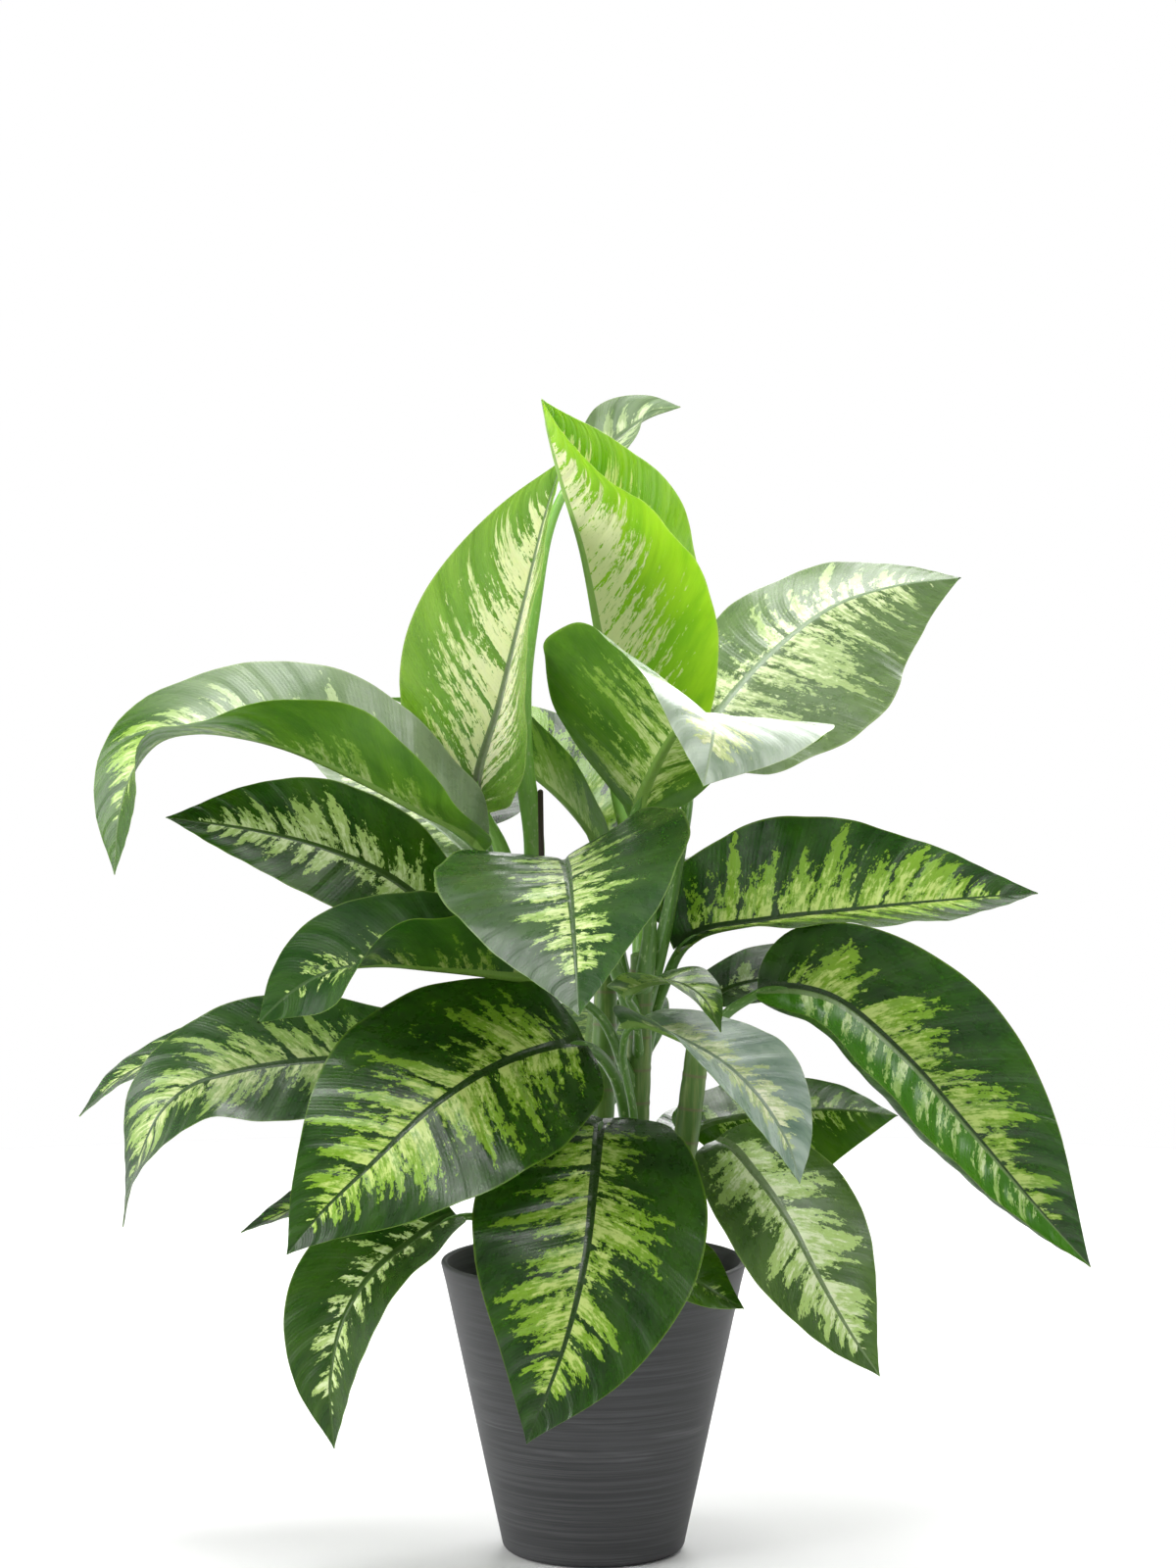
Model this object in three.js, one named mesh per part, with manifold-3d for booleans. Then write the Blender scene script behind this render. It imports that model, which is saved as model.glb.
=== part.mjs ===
// Potted dieffenbachia: a tapered planter, potting soil, five bare canes, a thin support stake
// and thirty-two leaves. Every leaf is one body made of its stalk, its midrib and its blade.
// Millimetres, +Z up. The pot stands on z = 0, centred on the z axis. The front of the plant is -Y.
import * as THREE from 'three';
import Module from 'manifold-3d';

// ---------------------------------------------------------------- driving dimensions, in mm
const POT_TOP_DIAMETER = 220; // outside, over the rim
const POT_BASE_DIAMETER = 130; // outside, on the floor
const POT_HEIGHT = 210;
const POT_WALL = 4.5;
const POT_FLOOR = 6;
const POT_CORNER = 6; // rounding where the wall meets the floor
const SOIL_TOP = 174; // height of the soil surface above the ground
const SOIL_MOUND = 4; // the soil stands this much higher in the middle
const CANE_FOOT_RADIUS = 11;
const CANE_TOP_RADIUS = 8.5;
const STAKE_RADIUS = 2;
const BLADE_THICKNESS = 1;
const STALK_SHEATH_RADIUS = 6.6; // where the stalk clasps its cane
const STALK_RADIUS = 4.4; // half way up the stalk
const JOINT_RADIUS = 3.6; // where stalk and blade meet
const GAP = 0.3; // clearance between bodies that touch

const POT_SIDES = 48;
const TUBE_SIDES = 6;
const CANE_SIDES = 10;
// stations along the blade, as a part of its length
const BLADE_ROWS = [0, 0.05, 0.14, 0.26, 0.4, 0.55, 0.7, 0.82, 0.92];
const MIDRIB_END = 0.9; // the midrib sinks into the blade here

// ---------------------------------------------------------------- canes: points on the axis,
// from the lower end down in the soil to the crown
const CANES = {
  "a": [[-25, 15, 120], [-33, 16, 240], [-44, 13, 370], [-50, 10, 470]],
  "b": [[25, 10, 120], [27, 8, 230], [32, 2, 340], [35, -5, 430]],
  "c": [[45, -20, 120], [55, -22, 220], [66, -24, 300], [75, -25, 370]],
  "d": [[-35, -35, 120], [-39, -40, 200], [-40, -46, 290], [-40, -50, 360]],
  "e": [[0, 55, 120], [3, 62, 220], [7, 72, 330], [10, 80, 420]],
};
const STAKE = [[-31, -12, 60], [-38, -10, 548]];

// ---------------------------------------------------------------- leaves
// cane, at    the cane the leaf grows from and the height of its node
// stalk       points of the stalk between the cane and the blade
// rib         points of the midrib: the first is where the blade begins, the last is its tip
// face        which way the upper side looks, at even steps from the base to the tip
// half        half of the greatest width
// fold        how many degrees the left and the right half stand up from flat, at even steps
// curl        how much further each half bends on its way to the margin: left, right
// lobe        how far the corners of the base sweep back
// stem        radius of the sheath and of the stalk's middle, where they are stouter than usual
const LEAVES = [
  {"name": "leaf_crown_left", "cane": "a", "at": 452, "half": 77, "lobe": 14,
    "stalk": [[-67, 0, 508]], "stem": [6.8, 6.2],
    "rib": [[-83, 0, 546], [-66, -10, 613], [-50, -14, 679], [-35, -15, 742], [-22, -12, 785]],
    "face": [[0, -1, 0], [0, -1, 0]], "fold": [[4, 4], [52, 84, 84]], "curl": [0, 0]},
  {"name": "leaf_crown_right", "cane": "b", "at": 418, "half": 88, "lobe": 14,
    "stalk": [[33, 12, 480]], "stem": [6.7, 6.7],
    "rib": [[19, 25, 552], [11, 18, 620], [2, 4, 671], [-8, -22, 721], [-22, -62, 767],
      [-31, -100, 801], [-35, -125, 822]],
    "face": [[1, 0.35, 0.1], [1, 0.35, 0.1]], "fold": [[75, 57, 50, 26], [75, 78, 88, 80]],
    "curl": [0, 0]},
  {"name": "leaf_crown_back", "cane": "a", "at": 440, "half": 28, "lobe": 4,
    "stalk": [[-43, 18, 505], [-50, 15, 566], [-51, 14, 622], [-43, 36, 680], [-32, 54, 736],
      [-18, 70, 768]],
    "stem": [7.5, 7],
    "rib": [[-3, 86, 786], [15, 98, 801], [38, 104, 818], [64, 96, 827]],
    "face": [[0.4, -0.9, 0.3], [0, -0.7, 0.7]], "fold": [[15, 15], [60, 62]], "curl": [0, 0]},
  {"name": "leaf_centre_folded", "cane": "b", "at": 400, "half": 110, "lobe": 7,
    "stalk": [[40, -22, 450], [38, -30, 495]],
    "rib": [[32, -36, 534], [43, -74, 568], [57, -114, 595], [74, -157, 610], [79, -205, 598],
      [72, -238, 564]],
    "face": [[0.42, 0, 0.9], [0.42, 0, 0.9]], "fold": [[58, 22, -5], [20, 14, 9]],
    "curl": [0, 0]},
  {"name": "leaf_right_upper", "cane": "b", "at": 385, "half": 96, "lobe": 13,
    "stalk": [[52, 8, 450], [66, 35, 525]],
    "rib": [[73, 62, 574], [94, 86, 606], [133, 122, 646], [182, 158, 680], [231, 186, 695],
      [283, 212, 701]],
    "face": [[-0.3, -0.8, 0.5], [-0.3, -0.8, 0.5]], "fold": [[-30, -20], [-16, -12]],
    "curl": [0, 0]},
  {"name": "leaf_right_mid", "cane": "b", "at": 345, "half": 81, "lobe": 12,
    "stalk": [[50, 8, 405]],
    "rib": [[68, 15, 440], [125, 30, 452], [185, 45, 458], [250, 55, 464], [326, 60, 470]],
    "face": [[0, -0.6, 0.8], [0, -0.6, 0.8]], "fold": [[30, 10], [40, 25]], "curl": [0, 0]},
  {"name": "leaf_right_arching", "cane": "c", "at": 355, "half": 71, "lobe": 11,
    "stalk": [[90, -30, 386], [109, -37, 402]],
    "rib": [[126, -42, 410], [167, -55, 405], [216, -68, 367], [265, -78, 313], [309, -84, 262],
      [348, -85, 219]],
    "face": [[0, -1, 0.2], [0, -1, 0.1]], "fold": [[0, 0], [8, 5]], "curl": [0, 107]},
  {"name": "leaf_right_under", "cane": "c", "at": 335, "half": 55, "lobe": 8,
    "stalk": [[80, -10, 372]],
    "rib": [[88, 8, 399], [125, 14, 411], [170, 18, 409], [215, 18, 388], [250, 14, 352]],
    "face": [[0, -0.3, 0.95], [0.3, -0.3, 0.9]], "fold": [[5, 5], [5, 5]], "curl": [0, 0]},
  {"name": "leaf_right_low_back", "cane": "c", "at": 245, "half": 56, "lobe": 9,
    "stalk": [[66, 2, 280]],
    "rib": [[76, 30, 301], [122, 55, 308], [172, 80, 308], [227, 95, 301]],
    "face": [[0, -0.85, 0.5], [0, -0.85, 0.5]], "fold": [[-42, -30], [0, 0]], "curl": [0, 0]},
  {"name": "leaf_front_right", "cane": "b", "at": 270, "half": 50, "lobe": 8,
    "stalk": [[28, -42, 322], [20, -76, 372]],
    "rib": [[27, -97, 392], [63, -122, 382], [93, -145, 366], [116, -158, 343], [132, -164, 316],
      [140, -166, 290]],
    "face": [[0.2, -0.4, 0.9], [0.2, -0.9, 0.4]], "fold": [[0, 0], [40, 40]], "curl": [0, 0]},
  {"name": "leaf_front_right_small", "cane": "b", "at": 352, "half": 30, "lobe": 5,
    "stalk": [[30, -34, 392]],
    "rib": [[25, -56, 408], [40, -78, 418], [58, -97, 420], [76, -112, 410], [88, -118, 388]],
    "face": [[0.2, -0.3, 0.9], [0.6, -0.5, 0.6]], "fold": [[15, 15], [15, 15]], "curl": [0, 0]},
  {"name": "leaf_low_right", "cane": "c", "at": 240, "half": 56, "lobe": 8,
    "stalk": [[74, -45, 285]],
    "rib": [[91, -70, 305], [114, -90, 284], [136, -108, 254], [156, -122, 217],
      [177, -132, 181], [197, -136, 152]],
    "face": [[0.3, -0.7, 0.6], [0.5, -0.8, 0.3]], "fold": [[6, 6], [6, 6]], "curl": [0, 0]},
  {"name": "leaf_rim_right", "cane": "b", "at": 195, "half": 28, "lobe": 4,
    "stalk": [[30, -34, 225]],
    "rib": [[38, -84, 238], [60, -112, 223], [82, -123, 209], [104, -125, 197]],
    "face": [[0.1, -0.6, 0.8], [0.3, -0.7, 0.6]], "fold": [[8, 8], [8, 8]], "curl": [0, 0]},
  {"name": "leaf_centre_heart", "cane": "b", "at": 376, "half": 92, "lobe": 16,
    "stalk": [[12, -26, 432], [-6, -44, 480]],
    "rib": [[-20, -64, 503], [-18, -130, 499], [-15, -195, 480], [-12, -250, 448],
      [-10, -286, 418]],
    "face": [[-0.2, -0.1, 0.9], [-0.2, -0.1, 0.9]], "fold": [[18, 14], [18, 14]], "curl": [0, 0]},
  {"name": "leaf_left_arching", "cane": "a", "at": 425, "half": 71, "lobe": 11,
    "stalk": [[-64, -14, 480]],
    "rib": [[-84, -38, 516], [-125, -44, 538], [-161, -48, 557], [-213, -50, 580],
      [-248, -48, 589], [-280, -46, 592], [-306, -45, 586], [-324, -44, 566], [-335, -44, 534],
      [-339, -44, 491]],
    "face": [[0, -0.36, 0.93], [0, -0.36, 0.93], [-0.4, -0.4, 0.8], [-0.6, -0.8, 0.1]],
    "fold": [[34, 64, 34, 10], [25, 42, 16, 10]], "curl": [0, 0]},
  {"name": "leaf_left_mid", "cane": "d", "at": 340, "half": 60, "lobe": 9,
    "stalk": [[-60, -34, 400], [-88, -8, 438]],
    "rib": [[-112, 10, 457], [-145, 2, 485], [-190, -14, 507], [-238, -30, 521], [-302, -45, 532]],
    "face": [[0, -0.7, 0.7], [0, -0.7, 0.7]], "fold": [[8, 8], [8, 8]], "curl": [0, 0]},
  {"name": "leaf_left_trough", "cane": "b", "at": 325, "half": 68, "lobe": 6,
    "stalk": [[4, -30, 390]],
    "rib": [[-28, -60, 415], [-70, -88, 425], [-113, -105, 431], [-149, -112, 434],
      [-181, -118, 430], [-207, -124, 417], [-231, -128, 395]],
    "face": [[0, 0, 1], [0, -0.1, 1], [-0.4, -0.85, 0.3]], "fold": [[76, 42, -20], [50, 42, 5]],
    "curl": [0, 0]},
  {"name": "leaf_left_low", "cane": "d", "at": 285, "half": 58, "lobe": 9,
    "stalk": [[-66, -30, 330], [-98, 0, 352]],
    "rib": [[-125, 13, 356], [-180, 0, 355], [-225, -15, 353], [-259, -27, 348],
      [-286, -36, 340], [-307, -40, 322], [-321, -42, 294], [-330, -42, 266], [-335, -42, 240]],
    "face": [[-0.1, -0.75, 0.65], [-0.1, -0.75, 0.65], [-0.6, -0.6, 0.5], [-1, -0.1, 0.1]],
    "fold": [[8, 8], [8, 8]], "curl": [0, 0]},
  {"name": "leaf_left_low_back", "cane": "a", "at": 315, "half": 46, "lobe": 7,
    "stalk": [[-75, 38, 362], [-130, 60, 370]],
    "rib": [[-199, 62, 366], [-263, 58, 361], [-316, 50, 349], [-347, 45, 335], [-376, 40, 308]],
    "face": [[0, -0.2, 1], [-0.2, -0.2, 1]], "fold": [[6, 6], [6, 6]], "curl": [0, 0]},
  {"name": "leaf_front_left", "cane": "b", "at": 290, "half": 86, "lobe": 6,
    "stalk": [[14, -44, 350]],
    "rib": [[-8, -94, 378], [-58, -127, 370], [-106, -162, 345], [-152, -192, 305],
      [-184, -207, 275], [-205, -214, 250]],
    "face": [[-0.15, -0.85, 0.5], [-0.15, -0.85, 0.5]], "fold": [[6, 6], [-4, 6]],
    "curl": [0, 0]},
  {"name": "leaf_front_centre", "cane": "b", "at": 230, "half": 80, "lobe": 12,
    "stalk": [[18, -40, 285], [10, -74, 316]],
    "rib": [[5, -97, 322], [0, -148, 288], [-6, -190, 242], [-20, -214, 188], [-45, -226, 125]],
    "face": [[0, -0.8, 0.6], [0, -0.9, 0.4]], "fold": [[6, 6], [6, 6]], "curl": [0, 0]},
  {"name": "leaf_low_left", "cane": "d", "at": 195, "half": 49, "lobe": 8,
    "stalk": [[-60, -56, 236], [-82, -66, 252]],
    "rib": [[-102, -78, 252], [-128, -98, 238], [-152, -115, 221], [-172, -128, 191],
      [-181, -135, 151], [-179, -137, 102]],
    "face": [[-0.3, -0.8, 0.5], [-0.4, -0.9, 0.2]], "fold": [[38, 30], [8, 8]], "curl": [0, 0]},
  {"name": "leaf_left_peek", "cane": "a", "at": 205, "half": 34, "lobe": 5,
    "stalk": [[-65, 30, 242], [-102, 46, 262]],
    "rib": [[-134, 58, 265], [-185, 62, 252], [-224, 57, 236], [-259, 50, 221]],
    "face": [[0, -0.15, 1], [0, -0.15, 1]], "fold": [[8, 8], [8, 8]], "curl": [0, 0]},
  {"name": "leaf_back_centre", "cane": "b", "at": 372, "half": 64, "lobe": 9,
    "stalk": [[20, 22, 430], [14, 24, 475]],
    "rib": [[5, 24, 505], [-20, 46, 537], [-58, 74, 566], [-102, 94, 590], [-150, 106, 612]],
    "face": [[0.3, 0, 0.9], [0.3, 0, 0.9]], "fold": [[45, 40], [45, 40]], "curl": [0, 0]},
  {"name": "leaf_left_behind", "cane": "a", "at": 400, "half": 45, "lobe": 6,
    "stalk": [[-66, 34, 455]],
    "rib": [[-92, 58, 500], [-150, 80, 540], [-208, 92, 565]],
    "face": [[0, -0.5, 0.85], [0, -0.5, 0.85]], "fold": [[8, 8], [8, 8]], "curl": [0, 0]},
  {"name": "leaf_rear_top", "cane": "e", "at": 408, "half": 72, "lobe": 11,
    "stalk": [[14, 100, 470]],
    "rib": [[20, 130, 520], [25, 180, 556], [30, 235, 566], [34, 288, 545], [36, 330, 500]],
    "face": [[0, -0.2, 1], [0, 0.6, 0.8]], "fold": [[12, 10], [12, 10]], "curl": [0, 0]},
  {"name": "leaf_rear_left", "cane": "e", "at": 385, "half": 66, "lobe": 10,
    "stalk": [[-12, 108, 425]],
    "rib": [[-40, 135, 447], [-90, 180, 462], [-140, 222, 455], [-182, 255, 425],
      [-208, 275, 385]],
    "face": [[0, 0, 1], [-0.5, 0.5, 0.7]], "fold": [[8, 8], [8, 8]], "curl": [0, 0]},
  {"name": "leaf_rear_right", "cane": "e", "at": 360, "half": 66, "lobe": 10,
    "stalk": [[36, 105, 410]],
    "rib": [[62, 128, 445], [112, 170, 475], [165, 212, 485], [208, 248, 472], [238, 272, 442]],
    "face": [[0, 0, 1], [0.5, 0.5, 0.7]], "fold": [[8, 8], [8, 8]], "curl": [0, 0]},
  {"name": "leaf_rear_low", "cane": "e", "at": 320, "half": 62, "lobe": 9,
    "stalk": [[6, 112, 360]],
    "rib": [[4, 145, 375], [0, 195, 370], [-4, 240, 340], [-6, 272, 298], [-6, 290, 252]],
    "face": [[0, 0.2, 1], [0, 0.8, 0.6]], "fold": [[8, 8], [8, 8]], "curl": [0, 0]},
  {"name": "leaf_rear_low_left", "cane": "e", "at": 250, "half": 52, "lobe": 8,
    "stalk": [[-28, 92, 290]],
    "rib": [[-58, 122, 308], [-100, 162, 305], [-138, 198, 280], [-165, 225, 240]],
    "face": [[-0.1, 0.1, 1], [-0.4, 0.5, 0.7]], "fold": [[8, 8], [8, 8]], "curl": [0, 0]},
  {"name": "leaf_rear_low_right", "cane": "e", "at": 225, "half": 52, "lobe": 8,
    "stalk": [[34, 90, 265]],
    "rib": [[66, 118, 285], [108, 156, 288], [148, 192, 268], [178, 220, 230]],
    "face": [[0.1, 0.1, 1], [0.4, 0.5, 0.7]], "fold": [[8, 8], [8, 8]], "curl": [0, 0]},
  {"name": "leaf_rear_upper_left", "cane": "a", "at": 385, "half": 60, "lobe": 9,
    "stalk": [[-56, 52, 440], [-72, 88, 490]],
    "rib": [[-86, 118, 520], [-112, 160, 545], [-142, 200, 550], [-170, 235, 530]],
    "face": [[0, 0, 1], [-0.3, 0.4, 0.9]], "fold": [[8, 8], [8, 8]], "curl": [0, 0]},
];

// ---------------------------------------------------------------- small helpers
const vec = (p) => new THREE.Vector3(p[0], p[1], p[2]);
const mix = (a, b, t) => a + (b - a) * t;
const smooth = (t) => t * t * (3 - 2 * t);
const clamp01 = (t) => Math.min(1, Math.max(0, t));

// Reads a list of values set at even steps from 0 to 1, easing from one to the next.
function eased(list, t, blend) {
  const place = clamp01(t) * (list.length - 1);
  const low = Math.min(list.length - 2, Math.floor(place));
  return blend(list[low], list[low + 1], smooth(place - low));
}

// A closed body through rings of points. All rings have the same count of points;
// the last one may be a single point. From the ring's point called under on, the quads are split
// along their other diagonal, so that the two sides of a twisted blade stay the same way apart.
function loft(rings, closeStart = capFan, under = Infinity) {
  const position = [];
  const index = [];
  const starts = [];
  for (const ring of rings) {
    starts.push(position.length / 3);
    for (const point of ring) position.push(point.x, point.y, point.z);
  }
  const count = rings[0].length;
  for (let row = 0; row + 1 < rings.length; row += 1) {
    const low = starts[row];
    const high = starts[row + 1];
    for (let i = 0; i < count; i += 1) {
      const next = (i + 1) % count;
      if (rings[row + 1].length === 1) {
        index.push(low + i, low + next, high);
      } else if (i >= under) {
        index.push(low + i, low + next, high + i, low + next, high + next, high + i);
      } else {
        index.push(low + i, low + next, high + next, low + i, high + next, high + i);
      }
    }
  }
  closeStart(index, starts[0], count, true);
  if (rings[rings.length - 1].length > 1) {
    capFan(index, starts[rings.length - 1], count, false);
  }
  const geometry = new THREE.BufferGeometry();
  geometry.setAttribute('position', new THREE.Float32BufferAttribute(position, 3));
  geometry.setIndex(index);
  return geometry;
}

// Closes one end of a loft with a fan of triangles.
function capFan(index, start, count, first) {
  for (let i = 1; i + 1 < count; i += 1) {
    if (first) index.push(start, start + i + 1, start + i);
    else index.push(start, start + i, start + i + 1);
  }
}

// Closes the base of a blade with a strip from one margin to the other: the points of the upper
// side run one way round the ring and those of the lower side run back.
function capStrip(index, start, count) {
  const upper = [];
  const lower = [0];
  for (let i = 0; i < count / 2; i += 1) upper.push(i);
  for (let i = count - 1; i >= count / 2 - 1; i -= 1) lower.push(i);
  let i = 0;
  let j = 1;
  while (i < upper.length - 2 || j < lower.length - 2) {
    if (i / upper.length <= j / lower.length && i < upper.length - 2) {
      index.push(start + upper[i + 1], start + upper[i], start + lower[j]);
      i += 1;
    } else {
      index.push(start + upper[i], start + lower[j], start + lower[j + 1]);
      j += 1;
    }
  }
  index.push(start + upper[i + 1], start + upper[i], start + lower[j]);
}

// The volume inside a body, negative when its faces look inward.
function signedVolume(geometry) {
  const p = geometry.getAttribute('position');
  const index = geometry.getIndex();
  const a = new THREE.Vector3();
  const b = new THREE.Vector3();
  const c = new THREE.Vector3();
  let sum = 0;
  for (let i = 0; i < index.count; i += 3) {
    a.fromBufferAttribute(p, index.getX(i));
    b.fromBufferAttribute(p, index.getX(i + 1));
    c.fromBufferAttribute(p, index.getX(i + 2));
    sum += a.dot(b.cross(c)) / 6;
  }
  return sum;
}

// Turns a body inside out when its faces look inward.
function facingOut(geometry) {
  if (signedVolume(geometry) >= 0) return geometry;
  const index = geometry.getIndex();
  for (let i = 0; i < index.count; i += 3) {
    const keep = index.getX(i + 1);
    index.setX(i + 1, index.getX(i + 2));
    index.setX(i + 2, keep);
  }
  return geometry;
}

// ---------------------------------------------------------------- curves
// A smooth line through the points, cut into short straight steps with its length known.
function smoothLine(points, firstIndex) {
  const curve = new THREE.CatmullRomCurve3(points.map(vec), false, 'centripetal');
  const start = firstIndex / (points.length - 1);
  const steps = 120;
  const samples = [];
  const lengths = [0];
  for (let i = 0; i <= steps; i += 1) samples.push(curve.getPoint(mix(start, 1, i / steps)));
  for (let i = 1; i <= steps; i += 1) {
    lengths.push(lengths[i - 1] + samples[i].distanceTo(samples[i - 1]));
  }
  const total = lengths[steps];
  const at = (t) => {
    const wanted = clamp01(t) * total;
    let i = 1;
    while (i < steps && lengths[i] < wanted) i += 1;
    const part = (wanted - lengths[i - 1]) / (lengths[i] - lengths[i - 1]);
    return samples[i - 1].clone().lerp(samples[i], part);
  };
  const along = (t) => at(t + 0.02).sub(at(t - 0.02)).normalize();
  return { at, along, total };
}

// The point on a cane's axis at a given height.
function canePoint(name, height) {
  const line = smoothLine(CANES[name], 0);
  let low = 0;
  let high = 1;
  for (let i = 0; i < 24; i += 1) {
    const middle = (low + high) / 2;
    if (line.at(middle).z < height) low = middle;
    else high = middle;
  }
  return line.at(low);
}

// A tube of changing radius; the rings keep their turn so the sides run straight.
function tube(stations, sides) {
  const rings = [];
  let side = null;
  stations.forEach(({ centre, radius, direction }) => {
    if (side === null) {
      side = new THREE.Vector3(0, 1, 0.3).cross(direction).normalize();
    }
    side.addScaledVector(direction, -side.dot(direction)).normalize();
    const up = direction.clone().cross(side);
    const ring = [];
    for (let i = 0; radius > 0 && i < sides; i += 1) {
      const turn = (i / sides) * 2 * Math.PI;
      ring.push(centre.clone().addScaledVector(side, Math.cos(turn) * radius)
        .addScaledVector(up, Math.sin(turn) * radius));
    }
    rings.push(radius > 0 ? ring : [centre.clone()]);
  });
  return facingOut(loft(rings));
}

// ---------------------------------------------------------------- the leaf
// Half width of a blade at t, as a part of its greatest: round base, long drawn-out tip.
function outline(t) {
  const widest = 0.4;
  if (t < widest) return mix(0.42, 1, Math.sin((t / widest) ** 0.85 * Math.PI / 2));
  return (1 - ((t - widest) / (1 - widest)) ** 1.9) ** 1.15;
}

// Everything needed to place points on one leaf.
function leafLines(leaf) {
  const root = canePoint(leaf.cane, leaf.at).toArray();
  const points = [root, ...leaf.stalk, ...leaf.rib];
  const joint = points.length - leaf.rib.length;
  const rib = smoothLine(points, joint);
  const whole = smoothLine(points, 0);
  return { rib, whole, stalkLength: whole.total - rib.total };
}

// The directions of a blade at t: along the midrib, upward out of the face, and to its right.
function bladeAxes(leaf, rib, t) {
  const tangent = rib.along(t);
  const face = eased(leaf.face, t, (a, b, part) => vec(a).lerp(vec(b), part)).normalize();
  const normal = face.addScaledVector(tangent, -face.dot(tangent)).normalize();
  return { tangent, normal, right: tangent.clone().cross(normal) };
}

// A point of the upper side: t runs along the midrib, v from -1 (left) to 1 (right margin).
function bladePoint(leaf, rib, t, v) {
  const { tangent, normal, right } = bladeAxes(leaf, rib, t);
  const half = leaf.half * outline(t);
  const hand = v < 0 ? 0 : 1;
  const fold = THREE.MathUtils.degToRad(eased(leaf.fold[hand], t, mix));
  const curl = THREE.MathUtils.degToRad(leaf.curl[hand] + 0.01);
  const reach = Math.abs(v);
  const end = fold + curl * reach;
  const across = (half / curl) * (Math.sin(end) - Math.sin(fold));
  const rise = (half / curl) * (Math.cos(fold) - Math.cos(end));
  const back = leaf.lobe * reach ** 1.5 * (1 - t) ** 3;
  const outward = right.clone().multiplyScalar(hand === 1 ? 1 : -1);
  const point = rib.at(t).addScaledVector(outward, across).addScaledVector(normal, rise)
    .addScaledVector(tangent, -back);
  const up = normal.clone();
  if (reach > 0) {
    up.multiplyScalar(Math.cos(end)).addScaledVector(outward, -Math.sin(end));
  }
  return { point, up };
}

// The radius of the midrib at t, drawn out to nothing at its end.
function midribRadius(leaf, t) {
  const size = Math.min(1.1, Math.max(0.7, leaf.half / 80));
  return mix(JOINT_RADIUS, 0.4, Math.sqrt(clamp01(t / MIDRIB_END))) * size;
}

// The blade: thin, its edges drawn to a line, with the midrib standing out underneath.
function bladeBody(leaf, rib) {
  const steps = Math.max(...leaf.curl) > 40 ? 3 : 2;
  const rings = BLADE_ROWS.map((t) => {
    const radius = midribRadius(leaf, t);
    const near = radius / (leaf.half * outline(t));
    const ring = [];
    const put = (v, depth) => {
      const { point, up } = bladePoint(leaf, rib, t, v);
      ring.push(point.addScaledVector(up, -depth));
    };
    for (let i = -steps; i <= steps; i += 1) put(i / steps, Math.abs(i) === steps ? 0.5 : 0);
    for (let i = steps - 1; i > 0; i -= 1) put(i / steps, BLADE_THICKNESS);
    put(near, BLADE_THICKNESS);
    put(0, BLADE_THICKNESS + 1.5 * radius);
    put(-near, BLADE_THICKNESS);
    for (let i = -1; i > -steps; i -= 1) put(i / steps, BLADE_THICKNESS);
    return ring;
  });
  const tip = bladePoint(leaf, rib, 0.999, 0);
  rings.push([tip.point.addScaledVector(tip.up, -BLADE_THICKNESS / 2)]);
  return facingOut(loft(rings, capStrip, 2 * steps));
}

// The stalk: a tapering tube that ends inside the thick foot of the midrib.
function stalkBody(leaf, lines) {
  const { rib, whole, stalkLength } = lines;
  const size = Math.min(1.1, Math.max(0.7, leaf.half / 80));
  const count = Math.max(4, Math.round(stalkLength / 28));
  const { normal } = bladeAxes(leaf, rib, 0);
  const [sheath, middle] = leaf.stem ?? [STALK_SHEATH_RADIUS * size, STALK_RADIUS * size];
  const joint = JOINT_RADIUS * size;
  const stations = [];
  for (let i = 0; i <= count; i += 1) {
    const part = i / count;
    const t = (part * stalkLength) / whole.total;
    const radius = part < 0.45
      ? mix(sheath, middle, smooth(part / 0.45))
      : mix(middle, joint, (part - 0.45) / 0.55);
    const sink = joint * smooth(clamp01((part - 0.5) / 0.5));
    stations.push({
      centre: whole.at(t).addScaledVector(normal, -sink),
      direction: whole.along(t),
      radius,
    });
  }
  const inside = bladeAxes(leaf, rib, 0.05);
  stations.push({
    centre: rib.at(0.05).addScaledVector(inside.normal, -BLADE_THICKNESS - 0.6 * joint),
    direction: inside.tangent,
    radius: 0,
  });
  return tube(stations, TUBE_SIDES);
}

// ---------------------------------------------------------------- adding and subtracting
const wasm = await Module();
wasm.setup();

function toManifold(geometry) {
  const mesh = new wasm.Mesh({
    numProp: 3,
    vertProperties: new Float32Array(geometry.getAttribute('position').array),
    triVerts: new Uint32Array(geometry.getIndex().array),
  });
  mesh.merge();
  return new wasm.Manifold(mesh);
}

function fromManifold(body) {
  const mesh = body.getMesh();
  const geometry = new THREE.BufferGeometry();
  geometry.setAttribute('position', new THREE.Float32BufferAttribute(mesh.vertProperties, 3));
  geometry.setIndex(Array.from(mesh.triVerts));
  return geometry;
}

// The largest of the separate pieces a cut may leave.
function largest(body) {
  return body.decompose().sort((p, q) => q.volume() - p.volume())[0];
}

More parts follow.
